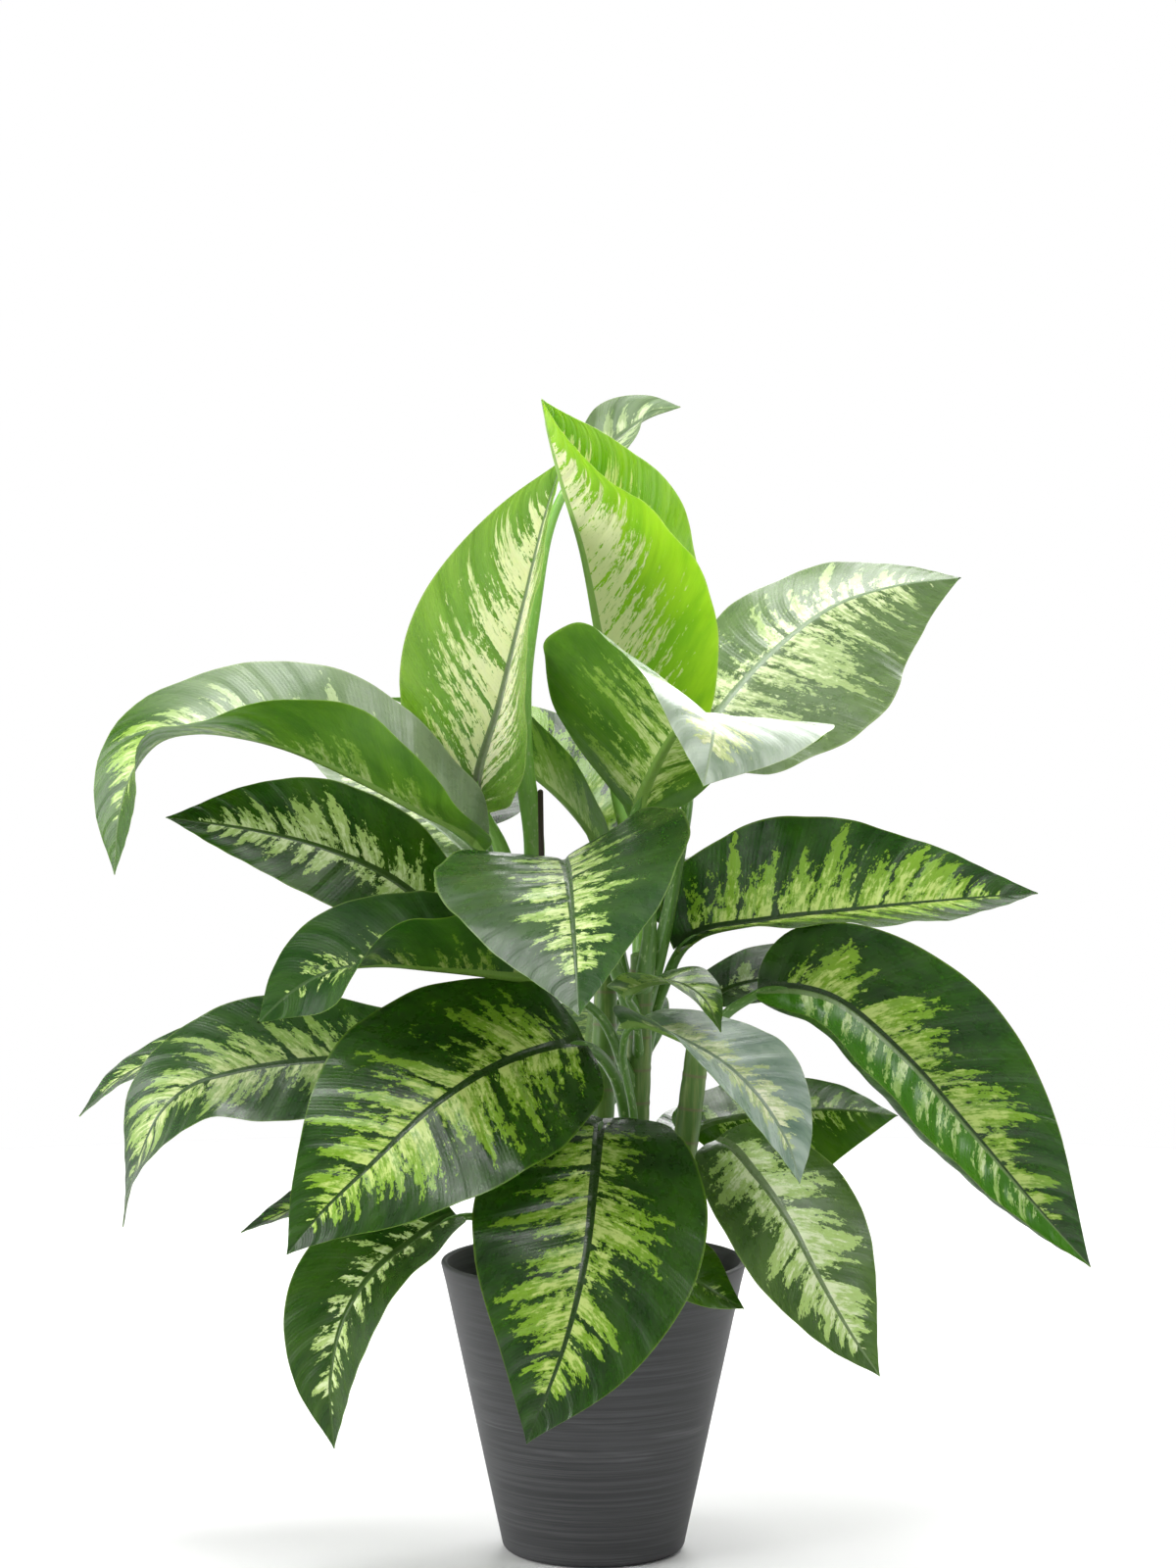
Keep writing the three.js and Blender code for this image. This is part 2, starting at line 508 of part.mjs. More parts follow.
// ---------------------------------------------------------------- canes and stake
function caneBody(name, grow) {
  const line = smoothLine(CANES[name], 0);
  const rows = 9;
  const stations = [];
  for (let i = 0; i <= rows; i += 1) {
    const t = i / rows;
    const radius = mix(CANE_FOOT_RADIUS, CANE_TOP_RADIUS, t);
    stations.push({ centre: line.at(t), direction: line.along(t), radius: radius + grow });
  }
  const end = line.along(1);
  const top = line.at(1);
  stations[rows].radius *= 0.97;
  stations.push({
    centre: top.clone().addScaledVector(end, 3 + grow),
    direction: end,
    radius: (CANE_TOP_RADIUS + grow) * 0.6,
  });
  if (grow > 0) stations[0].centre.addScaledVector(stations[0].direction, -grow);
  return tube(stations, CANE_SIDES);
}

function stakeBody(grow) {
  const [foot, top] = STAKE.map(vec);
  const direction = top.clone().sub(foot).normalize();
  foot.addScaledVector(direction, -grow);
  top.addScaledVector(direction, grow);
  const radius = STAKE_RADIUS + grow;
  const stations = [foot, top].map((centre) => ({ centre, direction, radius }));
  return tube(stations, 8);
}

// ---------------------------------------------------------------- pot and soil
function potBody() {
  const top = POT_TOP_DIAMETER / 2;
  const base = POT_BASE_DIAMETER / 2;
  const slope = (top - base) / POT_HEIGHT;
  const outer = (z) => base + slope * z;
  const inner = (z) => outer(z) - POT_WALL;
  const profile = [[0, 0], [base - POT_CORNER, 0]];
  for (const turn of [30, 60, 90]) {
    const a = THREE.MathUtils.degToRad(turn);
    const z = POT_CORNER * (1 - Math.cos(a));
    profile.push([outer(z) - POT_CORNER * (1 - Math.sin(a)), z]);
  }
  profile.push([outer(70), 70], [outer(140), 140], [outer(POT_HEIGHT - 2.2), POT_HEIGHT - 2.2]);
  profile.push([outer(POT_HEIGHT) - 0.6, POT_HEIGHT - 0.6], [top - POT_WALL / 2, POT_HEIGHT]);
  profile.push([inner(POT_HEIGHT) + 0.6, POT_HEIGHT - 0.6]);
  profile.push([inner(POT_HEIGHT - 2.2), POT_HEIGHT - 2.2], [inner(SOIL_TOP), SOIL_TOP]);
  profile.push([inner(90), 90], [inner(POT_FLOOR + 5), POT_FLOOR + 5]);
  profile.push([inner(POT_FLOOR) - 5, POT_FLOOR], [0, POT_FLOOR]);
  return { geometry: spun(profile), inner };
}

function soilBody(inner) {
  const low = POT_FLOOR + GAP;
  const profile = [[0, low], [inner(low) - 5 - GAP, low]];
  profile.push([inner(POT_FLOOR + 5) - 1.2 * GAP, POT_FLOOR + 5 + GAP]);
  profile.push([inner(90) - GAP * 1.2, 90], [inner(SOIL_TOP) - GAP * 1.2, SOIL_TOP]);
  profile.push([62, SOIL_TOP + SOIL_MOUND * 0.5], [25, SOIL_TOP + SOIL_MOUND], [0, SOIL_TOP + SOIL_MOUND]);
  return spun(profile);
}

// A closed body turned about the z axis from [radius, height] pairs.
function spun(profile) {
  const points = profile.map(([r, z]) => new THREE.Vector2(r, z));
  const geometry = new THREE.LatheGeometry(points, POT_SIDES);
  geometry.rotateX(Math.PI / 2);
  geometry.deleteAttribute('normal');
  geometry.deleteAttribute('uv');
  return facingOut(mergeByPlace(geometry));
}

// Joins vertices that lie in the same place and drops triangles without area.
function mergeByPlace(geometry) {
  const p = geometry.getAttribute('position');
  const places = new Map();
  const position = [];
  const remap = [];
  for (let i = 0; i < p.count; i += 1) {
    const key = [p.getX(i), p.getY(i), p.getZ(i)].map((n) => Math.round(n * 1e4)).join();
    if (!places.has(key)) {
      places.set(key, position.length / 3);
      position.push(p.getX(i), p.getY(i), p.getZ(i));
    }
    remap.push(places.get(key));
  }
  const index = [];
  const old = geometry.getIndex().array;
  for (let i = 0; i < old.length; i += 3) {
    const [a, b, c] = [remap[old[i]], remap[old[i + 1]], remap[old[i + 2]]];
    if (a !== b && b !== c && c !== a) index.push(a, b, c);
  }
  const merged = new THREE.BufferGeometry();
  merged.setAttribute('position', new THREE.Float32BufferAttribute(position, 3));
  merged.setIndex(index);
  return merged;
}

// ---------------------------------------------------------------- assembly
const LOOKS = {
  pot: [0x3f4245, 0.7],
  soil: [0x2c2018, 0.95],
  cane: [0x7f8f4f, 0.6],
  stake: [0x2b2a26, 0.7],
  leaf: [0x3f6b2c, 0.35],
  crown: [0x86b52e, 0.35],
};

const plant = new THREE.Group();
plant.name = 'potted_dieffenbachia';

function add(name, geometry, look) {
  const [color, roughness] = LOOKS[look];
  const material = new THREE.MeshStandardMaterial({ color, roughness, metalness: 0 });
  const mesh = new THREE.Mesh(geometry, material);
  mesh.name = name;
  plant.add(mesh);
}

const pot = potBody();
add('pot', pot.geometry, 'pot');

// A round cutter with flat sides must be a little wider to keep the clearance at its flats.
const caneCut = GAP / Math.cos(Math.PI / CANE_SIDES);
const cutters = {};
for (const name of Object.keys(CANES)) cutters[name] = toManifold(caneBody(name, caneCut));
const stakeCutter = toManifold(stakeBody(GAP + 0.1));

let soil = toManifold(soilBody(pot.inner)).subtract(stakeCutter);
for (const name of Object.keys(CANES)) soil = soil.subtract(cutters[name]);
add('potting_soil', fromManifold(largest(soil)), 'soil');
for (const name of Object.keys(CANES)) add(`cane_${name}`, caneBody(name, 0), 'cane');
add('support_stake', stakeBody(0), 'stake');

for (const leaf of LEAVES) {
  const lines = leafLines(leaf);
  const stalk = toManifold(stalkBody(leaf, lines));
  const blade = toManifold(bladeBody(leaf, lines.rib));
  const body = largest(stalk.add(blade).subtract(cutters[leaf.cane]));
  const young = leaf.name.startsWith('leaf_crown');
  add(leaf.name, fromManifold(body), young ? 'crown' : 'leaf');
}

export default plant;
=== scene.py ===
# %% [markdown]
# # A potted dieffenbachia
# The plant has five bare canes in a tapered planter, and each leaf is one grown piece: a stalk
# that clasps the cane, a midrib and a thin blade. The construction model fixes where every piece
# is. This script gives each piece its real surface, with the same lines and sizes, in metres.

# %% Load the frame
import math
import random
from bisect import bisect_left
from collections import namedtuple
import bmesh
import bpy
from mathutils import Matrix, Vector, noise


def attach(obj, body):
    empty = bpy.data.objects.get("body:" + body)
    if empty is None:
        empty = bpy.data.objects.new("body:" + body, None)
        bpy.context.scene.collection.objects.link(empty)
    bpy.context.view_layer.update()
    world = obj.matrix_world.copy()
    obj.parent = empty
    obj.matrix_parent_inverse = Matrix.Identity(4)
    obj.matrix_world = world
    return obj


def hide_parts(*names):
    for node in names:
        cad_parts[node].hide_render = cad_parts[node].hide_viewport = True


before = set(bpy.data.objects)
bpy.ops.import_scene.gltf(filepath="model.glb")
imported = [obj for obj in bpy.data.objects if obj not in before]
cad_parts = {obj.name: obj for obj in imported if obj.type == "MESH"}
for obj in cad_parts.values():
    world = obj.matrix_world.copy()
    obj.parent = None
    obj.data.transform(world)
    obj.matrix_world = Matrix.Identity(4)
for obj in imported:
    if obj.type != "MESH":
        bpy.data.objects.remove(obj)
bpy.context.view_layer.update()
MM = 0.001
print("nodes in the frame:", len(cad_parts))

# %% [markdown]
# The camera comes first, because every later choice is judged through it. A picture of 1200 by
# 1600 pixels whose lens spans 4000 pixels is a 90 mm lens on a 36 mm sensor, held upright. The
# camera stands a little below the crown, 2.8 m away, and looks down by three degrees.

# %% Camera
PICTURE_HEIGHT = 1600  # pixels
LENS_SPAN = 4000  # pixels: the distance at which one pixel is one unit
SENSOR = 36.0  # mm, along the picture's height
CAMERA_PLACE = Vector((-0.004, -2.807, 0.700))
CAMERA_TILT = 3.0  # degrees below the horizon

camera = bpy.data.objects.new("camera", bpy.data.cameras.new("camera"))
camera.data.sensor_width = SENSOR
camera.data.lens = SENSOR * LENS_SPAN / PICTURE_HEIGHT
camera.location = CAMERA_PLACE
camera.rotation_euler = (math.radians(90 - CAMERA_TILT), 0, 0)
bpy.context.scene.collection.objects.link(camera)
bpy.context.scene.camera = camera
bpy.context.scene.view_settings.view_transform = "Standard"
print("lens:", camera.data.lens, "mm")

# %% [markdown]
# The sky and every finish are small networks of nodes. A few helpers keep them short: put adds a
# node and fills its inputs, with numbers, colours or the outputs of earlier nodes, and the others
# wrap the nodes that come up again and again, for arithmetic, eased steps, noise and mixing.

# %% Helpers for networks of nodes
def new_material(name, **sockets):
    """A material with the values set on its shader's own sockets."""
    material = bpy.data.materials.new(name)
    material.use_nodes = True
    shader = material.node_tree.nodes["Principled BSDF"]
    for socket, value in sockets.items():
        shader.inputs[socket.replace("_", " ")].default_value = value
    return material, material.node_tree, shader


def put(tree, kind, inputs=None, **settings):
    """Adds a node; inputs maps socket names or numbers to values or to other nodes' outputs."""
    node = tree.nodes.new(kind)
    for key, value in settings.items():
        setattr(node, key, value)
    for key, value in (inputs or {}).items():
        if isinstance(value, bpy.types.NodeSocket):
            tree.links.new(value, node.inputs[key])
        else:
            node.inputs[key].default_value = value
    return node


def sum_of(tree, operation, a, b=0.0, c=0.0):
    """The output of one arithmetic node."""
    return put(tree, "ShaderNodeMath", {0: a, 1: b, 2: c}, operation=operation).outputs[0]


def add_up(tree, start, *terms):
    """start plus each term, an output and the factor it counts with."""
    total = start
    for output, factor in terms:
        total = sum_of(tree, "MULTIPLY_ADD", output, factor, total)
    return total


def step_of(tree, value, low, high, to_low=0.0, to_high=1.0):
    """Eases from to_low to to_high while value goes from low to high."""
    ends = {"Value": value, "From Min": low, "From Max": high, "To Min": to_low, "To Max": to_high}
    return put(tree, "ShaderNodeMapRange", ends, interpolation_type="SMOOTHSTEP").outputs[0]


def grain_of(tree, place, stretch, scale, detail=3.0, roughness=0.55):
    """Noise read at place, stretched by a scale for each axis."""
    moved = put(tree, "ShaderNodeMapping", {"Vector": place, "Scale": stretch})
    sockets = {"Vector": moved.outputs[0], "Scale": scale, "Detail": detail, "Roughness": roughness}
    return put(tree, "ShaderNodeTexNoise", sockets).outputs[0]


def blend_of(tree, share, a, b):
    """Mixes the colours a and b by share."""
    mixer = put(tree, "ShaderNodeMix", data_type="RGBA")
    for key, value in ((0, share), (6, a), (7, b)):
        if isinstance(value, bpy.types.NodeSocket):
            tree.links.new(value, mixer.inputs[key])
        else:
            mixer.inputs[key].default_value = value if key == 0 else (*value, 1)
    return mixer.outputs[2]


def rough_up(tree, shader, height, distance, strength=1.0):
    """Gives the shader a bump of the given height map, distance in metres."""
    sockets = {"Height": height, "Distance": distance, "Strength": strength}
    bump = put(tree, "ShaderNodeBump", sockets)
    tree.links.new(bump.outputs[0], shader.inputs["Normal"])

# %% [markdown]
# Leaves with a waxy skin show their form by what they mirror. Large soft lamps give broad pale
# reflections like those of windows: one behind the plant, which also shines through the thin
# young leaves, one overhead, one on the left for the form, and a small one at the right front.
# The sky is white near the horizon and behind the plant, where it is the backdrop. It is dimmer
# overhead and on the camera's side, so that dark leaves stay dark where they mirror no lamp.

# %% Lamps and sky
LAMPS = {  # place in metres, width in metres, power in watts
    "window_behind": ((0.65, 1.9, 2.0), 2.2, 70.0),
    "window_above": ((-0.25, -0.1, 2.7), 1.3, 44.0),
    "window_left": ((-2.6, -1.0, 1.4), 2.0, 76.0),
    "lamp_right": ((1.2, -1.5, 2.4), 1.2, 26.0),
}
AIM = Vector((0, 0, 0.45))
SKY_WHITE, SKY_HORIZON = 1.0, 0.88  # strengths of the sky
SKY_OVERHEAD, SKY_IN_FRONT = 0.22, 0.17

for name, (place, width, power) in LAMPS.items():
    lamp = bpy.data.lights.new(name, "AREA")
    lamp.size = width
    lamp.energy = power
    holder = bpy.data.objects.new(name, lamp)
    holder.location = place
    holder.rotation_euler = (AIM - Vector(place)).to_track_quat("-Z", "Y").to_euler()
    bpy.context.scene.collection.objects.link(holder)


def pale_sky():
    """White near the horizon and behind the plant, dimmer overhead and on the camera's side."""
    sky = bpy.data.worlds.new("pale_room")
    sky.use_nodes = True
    tree = sky.node_tree
    background = tree.nodes["Background"]
    direction = put(tree, "ShaderNodeTexCoord").outputs["Generated"]
    split = put(tree, "ShaderNodeSeparateXYZ", {0: direction})
    away, up = split.outputs[1], split.outputs[2]
    overhead = step_of(tree, up, 0.20, 0.50, SKY_WHITE, SKY_OVERHEAD)
    behind = step_of(tree, away, -0.25, 0.50, SKY_IN_FRONT, SKY_WHITE)
    low_down = step_of(tree, up, 0.05, 0.20, SKY_HORIZON, SKY_IN_FRONT)
    strength = sum_of(tree, "MINIMUM", overhead, sum_of(tree, "MAXIMUM", behind, low_down))
    tree.links.new(strength, background.inputs["Strength"])
    background.inputs["Color"].default_value = (1.0, 1.0, 1.0, 1)
    return sky


bpy.context.scene.world = pale_sky()
print("lamps:", len(LAMPS))

# %% [markdown]
# Each finished bmesh becomes one object that stands for one node of the frame: it rides on the
# part's only body and replaces the node.

# %% From a bmesh to a piece of the part
def keep_piece(bm, name, node, materials):
    """Turns a finished bmesh into an object that stands for a node of the frame."""
    mesh = bpy.data.meshes.new(name)
    bm.to_mesh(mesh)
    bm.free()
    for material in materials:
        mesh.materials.append(material)
    piece = bpy.data.objects.new(name, mesh)
    bpy.context.scene.collection.objects.link(piece)
    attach(piece, "root")
    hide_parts(node)
    return piece

# %% [markdown]
# The floor is a wide pale disc. It is a stage, so it isn't part of the object. A trace of soft
# mottling keeps it from looking like a cut-out.

# %% Floor
FLOOR_RADIUS = 2.1  # metres: past this the white sky stands in for more floor
FLOOR_GAP = 0.0004  # metres under the pot's foot


def floor_material():
    material, tree, shader = new_material("floor_paint", Roughness=0.6)
    place = put(tree, "ShaderNodeTexCoord").outputs["Object"]
    mottle = grain_of(tree, place, (1, 1, 1), 3.0)
    tree.links.new(blend_of(tree, mottle, (0.86, 0.86, 0.86), (0.90, 0.90, 0.90)),
                   shader.inputs["Base Color"])
    return material


bm = bmesh.new()
bmesh.ops.create_circle(bm, cap_ends=True, segments=96, radius=FLOOR_RADIUS)
bmesh.ops.translate(bm, verts=bm.verts, vec=(0, 0, -FLOOR_GAP))
floor_mesh = bpy.data.meshes.new("floor")
bm.to_mesh(floor_mesh)
bm.free()
floor_mesh.materials.append(floor_material())
floor = bpy.data.objects.new("floor", floor_mesh)
bpy.context.scene.collection.objects.link(floor)
print("floor laid")

# %% [markdown]
# ## The planter
# It is moulded from a matt composite: a straight cone with a soft foot and a plain lip. A lathe
# shape is made with spin: the profile of outside, lip and inside is drawn once, as a chain of
# edges, and turned once round the axis. The seam is merged and the normals recalculated.

# %% Planter shape
POT_TOP_RADIUS = 110 * MM
POT_BASE_RADIUS = 65 * MM
POT_HEIGHT = 210 * MM
POT_WALL = 4.5 * MM
POT_FLOOR = 6 * MM
FOOT_ROUNDING = 6 * MM
WALL_STEP = 12  # mm of height between the wall's rings
POT_STEPS = 144


def wall_radius(height):
    """Outer radius of the cone at a height."""
    return POT_BASE_RADIUS + (POT_TOP_RADIUS - POT_BASE_RADIUS) * height / POT_HEIGHT


def arc(centre, radius, start, stop, steps):
    """Points (r, z) on an arc; angles in degrees from the +r direction."""
    turns = [math.radians(start + (stop - start) * i / steps) for i in range(steps + 1)]
    return [(centre[0] + radius * math.cos(a), centre[1] + radius * math.sin(a)) for a in turns]


def spun(profile, steps):
    """A bmesh turned round the z axis from (r, z) points."""
    bm = bmesh.new()
    verts = [bm.verts.new((r, 0, z)) for r, z in profile]
    edges = [bm.edges.new(pair) for pair in zip(verts, verts[1:])]
    bmesh.ops.spin(bm, geom=verts + edges, axis=(0, 0, 1), cent=(0, 0, 0), dvec=(0, 0, 0),
                   angle=math.tau, steps=steps, use_merge=True)
    bmesh.ops.remove_doubles(bm, verts=bm.verts, dist=1e-7)
    bmesh.ops.recalc_face_normals(bm, faces=bm.faces)
    for face in bm.faces:
        face.smooth = True
    return bm


foot = arc((POT_BASE_RADIUS - 0.8 * FOOT_ROUNDING, FOOT_ROUNDING), FOOT_ROUNDING, -90, -12, 6)
lip_centre = (POT_TOP_RADIUS - POT_WALL / 2, POT_HEIGHT - POT_WALL / 2)
lip = arc(lip_centre, POT_WALL / 2, 0, 180, 8)
wall = [(wall_radius(h * MM), h * MM) for h in range(14, 206, WALL_STEP)]
inside = [(wall_radius(h * MM) - POT_WALL, h * MM) for h in range(204, 12, -WALL_STEP)]
profile = [(0, 0)] + foot + wall + lip + inside
profile += [(POT_BASE_RADIUS - POT_WALL - 3 * MM, POT_FLOOR), (0, POT_FLOOR)]
pot_bm = spun(profile, POT_STEPS)
print("planter faces:", len(pot_bm.faces))

# %% [markdown]
# The composite is dark grey, with fine streaks drawn round it by the mould and a dusty bloom. The
# streaks are noise that is stretched hard: read by height in great detail, and round the wall
# hardly at all. They change colour, roughness and height together.

# %% Planter finish
def composite_material():
    material, tree, shader = new_material("anthracite_composite", Specular_IOR_Level=0.35)
    place = put(tree, "ShaderNodeTexCoord").outputs["Object"]
    streaks = grain_of(tree, place, (7, 7, 620), 1.0, 5.0, 0.65)
    broad = grain_of(tree, place, (9, 9, 60), 1.0, 3.0)
    cloud = grain_of(tree, place, (1, 1, 1), 14.0, 3.0)
    grit = grain_of(tree, place, (1, 1, 1), 900.0, 2.0)
    line = step_of(tree, streaks, 0.38, 0.66)
    tone = blend_of(tree, line, (0.034, 0.035, 0.037), (0.072, 0.073, 0.076))
    scuffs = sum_of(tree, "MULTIPLY", step_of(tree, broad, 0.56, 0.75), line)
    tone = blend_of(tree, sum_of(tree, "MULTIPLY", scuffs, 0.45), tone, (0.16, 0.163, 0.168))
    tone = blend_of(tree, step_of(tree, cloud, 0.35, 0.8, 0.0, 0.35), tone, (0.050, 0.050, 0.052))
    tree.links.new(tone, shader.inputs["Base Color"])
    tree.links.new(step_of(tree, streaks, 0.3, 0.7, 0.5, 0.68), shader.inputs["Roughness"])
    rough_up(tree, shader, add_up(tree, streaks, (grit, 0.25)), 0.0003, 0.3)
    return material


pot = keep_piece(pot_bm, "pot_moulded", "pot", [composite_material()])
print("planter:", [round(n, 3) for n in pot.dimensions])

# %% [markdown]
# ## The potting soil
# Moist peat mix is a dark crumbly bed, a little higher in the middle. Its surface is a lathe
# shape whose upper vertices are moved by noise, and loose crumbs of bark lie on it. A crumb is an
# icosphere with few faces, because there are hundreds of them.

# %% Soil shape
SOIL_TOP = 174 * MM
SOIL_MOUND = 4 * MM
SOIL_FOOT = 12 * MM
SOIL_RINGS = 26
SOIL_STEPS = 96
CLUMP_HEIGHT = 2.2 * MM
CRUMBS = 420
CRUMB_REACH = 94 * MM  # how far from the middle crumbs lie
BARK_SHARE = 0.16

soil_radius = wall_radius(SOIL_TOP) - POT_WALL - 0.5 * MM
rings = [soil_radius * (1 - i / SOIL_RINGS) for i in range(SOIL_RINGS + 1)]
profile = [(0, SOIL_FOOT), (wall_radius(SOIL_FOOT) - POT_WALL - 2 * MM, SOIL_FOOT)]
profile += [(r, SOIL_TOP + SOIL_MOUND * (1 - r / soil_radius) ** 0.7) for r in rings]
soil_bm = spun(profile, SOIL_STEPS)
for vert in soil_bm.verts:
    if vert.co.z > SOIL_TOP - 1 * MM:
        clump = noise.fractal(vert.co * 55, 0.9, 2.1, 4)
        vert.co.z += CLUMP_HEIGHT * clump

dice = random.Random(11)
for count in range(CRUMBS):
    turn = dice.uniform(0, math.tau)
    away = CRUMB_REACH * math.sqrt(dice.random())
    size = dice.uniform(1.2, 3.0) * MM
    made = bmesh.ops.create_icosphere(soil_bm, subdivisions=1, radius=size)
    crumb = made["verts"]
    bark = dice.random() < BARK_SHARE
    flat = (1, dice.uniform(0.5, 0.9), dice.uniform(0.35, 0.6) if bark else dice.uniform(0.6, 0.9))
    bmesh.ops.scale(soil_bm, verts=crumb, vec=Vector(flat) * (1.7 if bark else 1))
    for vert in crumb:
        vert.co += noise.noise_vector(vert.co * 700 + Vector((count, 0, 0))) * size * 0.35
        vert.co.rotate(Vector((0, 0, 1)).rotation_difference(Vector((0.2, 0.1, 1))))
    height = SOIL_TOP + SOIL_MOUND * (1 - away / soil_radius) ** 0.7 + 0.3 * size
    place = Vector((away * math.cos(turn), away * math.sin(turn), height))
    bmesh.ops.translate(soil_bm, verts=crumb, vec=place)
    for face in {face for vert in crumb for face in vert.link_faces}:
        face.material_index = 1 if bark else 0
print("soil faces:", len(soil_bm.faces))


# %% Soil finish
def peat_material():
    material, tree, shader = new_material("moist_peat", Roughness=0.9, Specular_IOR_Level=0.2)
    place = put(tree, "ShaderNodeTexCoord").outputs["Object"]
    lumps = grain_of(tree, place, (1, 1, 1), 160.0, 4.0)
    fibres = grain_of(tree, place, (300, 90, 90), 1.0, 3.0)
    tone = blend_of(tree, step_of(tree, lumps, 0.3, 0.7), (0.010, 0.007, 0.005),
                    (0.050, 0.034, 0.022))
    tone = blend_of(tree, step_of(tree, fibres, 0.6, 0.75), tone, (0.11, 0.075, 0.045))
    tree.links.new(tone, shader.inputs["Base Color"])
    rough_up(tree, shader, sum_of(tree, "ADD", lumps, fibres), 0.0012, 0.8)
    return material


def bark_material():
    material, tree, shader = new_material("bark_crumbs", Roughness=0.8, Specular_IOR_Level=0.3)
    place = put(tree, "ShaderNodeTexCoord").outputs["Object"]
    fibres = grain_of(tree, place, (420, 120, 120), 1.0, 4.0)
    tone = blend_of(tree, step_of(tree, fibres, 0.3, 0.7), (0.055, 0.028, 0.014),
                    (0.19, 0.11, 0.06))
    tree.links.new(tone, shader.inputs["Base Color"])
    rough_up(tree, shader, fibres, 0.0006, 0.7)
    return material


soil = keep_piece(soil_bm, "soil_bed", "potting_soil",
                  [peat_material(), bark_material()])
print("soil:", [round(n, 3) for n in soil.dimensions])

# %% [markdown]
# ## Lines in space
# Canes, stalks and midribs follow smooth lines through a few points. The line here is a
# centripetal Catmull-Rom curve, the same as in the construction model, so that every piece
# lies where its node is. It is cut into short steps, so that a place on it can be asked for as
# a part of its whole length.

# %% Smooth lines
LINE_STEPS = 120


def mix(a, b, t):
    """Runs from a to b while t runs from 0 to 1."""
    return a + (b - a) * t


def smooth(t):
    """The same from 0 to 1, with a soft start and a soft end."""
    t = min(1.0, max(0.0, t))
    return t * t * (3 - 2 * t)


def eased(values, t):
    """Reads values that are set at even steps from 0 to 1. A lone value holds all along."""
    if len(values) == 1:
        return values[0]
    place = min(1.0, max(0.0, t)) * (len(values) - 1)
    low = min(len(values) - 2, int(place))
    return mix(values[low], values[low + 1], smooth(place - low))


def curve_point(points, t):
    """A point of the centripetal Catmull-Rom curve through points."""
    last = len(points) - 1
    low = min(last - 1, int(last * t))
    weight = last * t - low
    b, c = points[low], points[low + 1]
    a = points[low - 1] if low > 0 else 2 * b - c
    d = points[low + 2] if low + 2 <= last else 2 * c - b
    span_ab, span_bc, span_cd = (math.sqrt((q - p).length) for p, q in ((a, b), (b, c), (c, d)))
    leave = ((b - a) / span_ab - (c - a) / (span_ab + span_bc) + (c - b) / span_bc) * span_bc
    reach = ((c - b) / span_bc - (d - b) / (span_bc + span_cd) + (d - c) / span_cd) * span_bc
    square = (3 * (c - b) - 2 * leave - reach) * weight ** 2
    cube = (2 * (b - c) + leave + reach) * weight ** 3
    return b + leave * weight + square + cube


class SmoothLine:
    """A smooth line through points, in metres, read from the point with the index first on."""

    def __init__(self, points, first=0):
        points = [Vector(p) for p in points]
        start = first / (len(points) - 1)
        steps = range(LINE_STEPS + 1)
        self.samples = [curve_point(points, mix(start, 1, i / LINE_STEPS)) for i in steps]
        self.lengths = [0.0]
        for before, after in zip(self.samples, self.samples[1:]):
            self.lengths.append(self.lengths[-1] + (after - before).length)
        self.total = self.lengths[-1]

    def at(self, t):
        """The point at t, a part of the whole length."""
        wanted = min(1.0, max(0.0, t)) * self.total
        i = min(LINE_STEPS, max(1, bisect_left(self.lengths, wanted)))
        part = (wanted - self.lengths[i - 1]) / (self.lengths[i] - self.lengths[i - 1])
        return self.samples[i - 1].lerp(self.samples[i], part)

    def along(self, t):
        """The direction in which the line runs at t."""
        return (self.at(t + 0.02) - self.at(t - 0.02)).normalized()


# %% [markdown]
# A stem is a flat grid rolled into a tube: one direction of the grid goes round, the other along.
# While the grid is still flat its places are written into a UV map, as the turn and the length in
# centimetres, and the finishes read them. A radius of nothing at both ends closes the tube.

# %% Rolled tubes
def add_tube(bm, stations, sides, side, material_index=0):
    """Rolls a grid through stations of (centre, direction, radius, radius factor by angle)."""
    rows = []
    walked = 0.0
    before = stations[0][0]
    for centre, direction, radius, shape in stations:
        side = (side - direction * side.dot(direction)).normalized()
        walked += (centre - before).length
        before = centre
        rows.append((centre, side, direction.cross(side), radius, shape, walked))
    grid = bmesh.ops.create_grid(bm, x_segments=sides, y_segments=len(rows) - 1, size=1.0)["verts"]
    place = {}
    for vert in grid:
        column = round((vert.co.x + 1) / 2 * sides)
        place[vert] = (column, round((vert.co.y + 1) / 2 * (len(rows) - 1)))
    uv = bm.loops.layers.uv["blade"]
    for face in {face for vert in grid for face in vert.link_faces}:
        face.material_index = material_index
        face.smooth = True
        for loop in face.loops:
            column, row = place[loop.vert]
            loop[uv].uv = (column / sides, rows[row][5] * 100)
    for vert in grid:
        column, row = place[vert]
        centre, across, up, radius, shape, _ = rows[row]
        turn = column / sides * math.tau
        wide = radius * shape(turn)
        vert.co = centre + across * math.cos(turn) * wide + up * math.sin(turn) * wide
    bmesh.ops.remove_doubles(bm, verts=grid, dist=1e-6)


def plain(turn):
    """The shape of a round tube: no factor on the radius at any angle."""
    return 1.0


def new_plant_bmesh():
    """A bmesh with the two UV maps that the plant's finishes read."""
    bm = bmesh.new()
    bm.loops.layers.uv.new("blade")
    bm.loops.layers.uv.new("vein")
    return bm

# %% [markdown]
# ## Canes and stake
# A cane is green and round, and ringed where old leaves fell. The rings stand a little proud,
# every 24 mm, with a slight waist between them. The stake among the left canes is a dark rod with
# a rounded end.

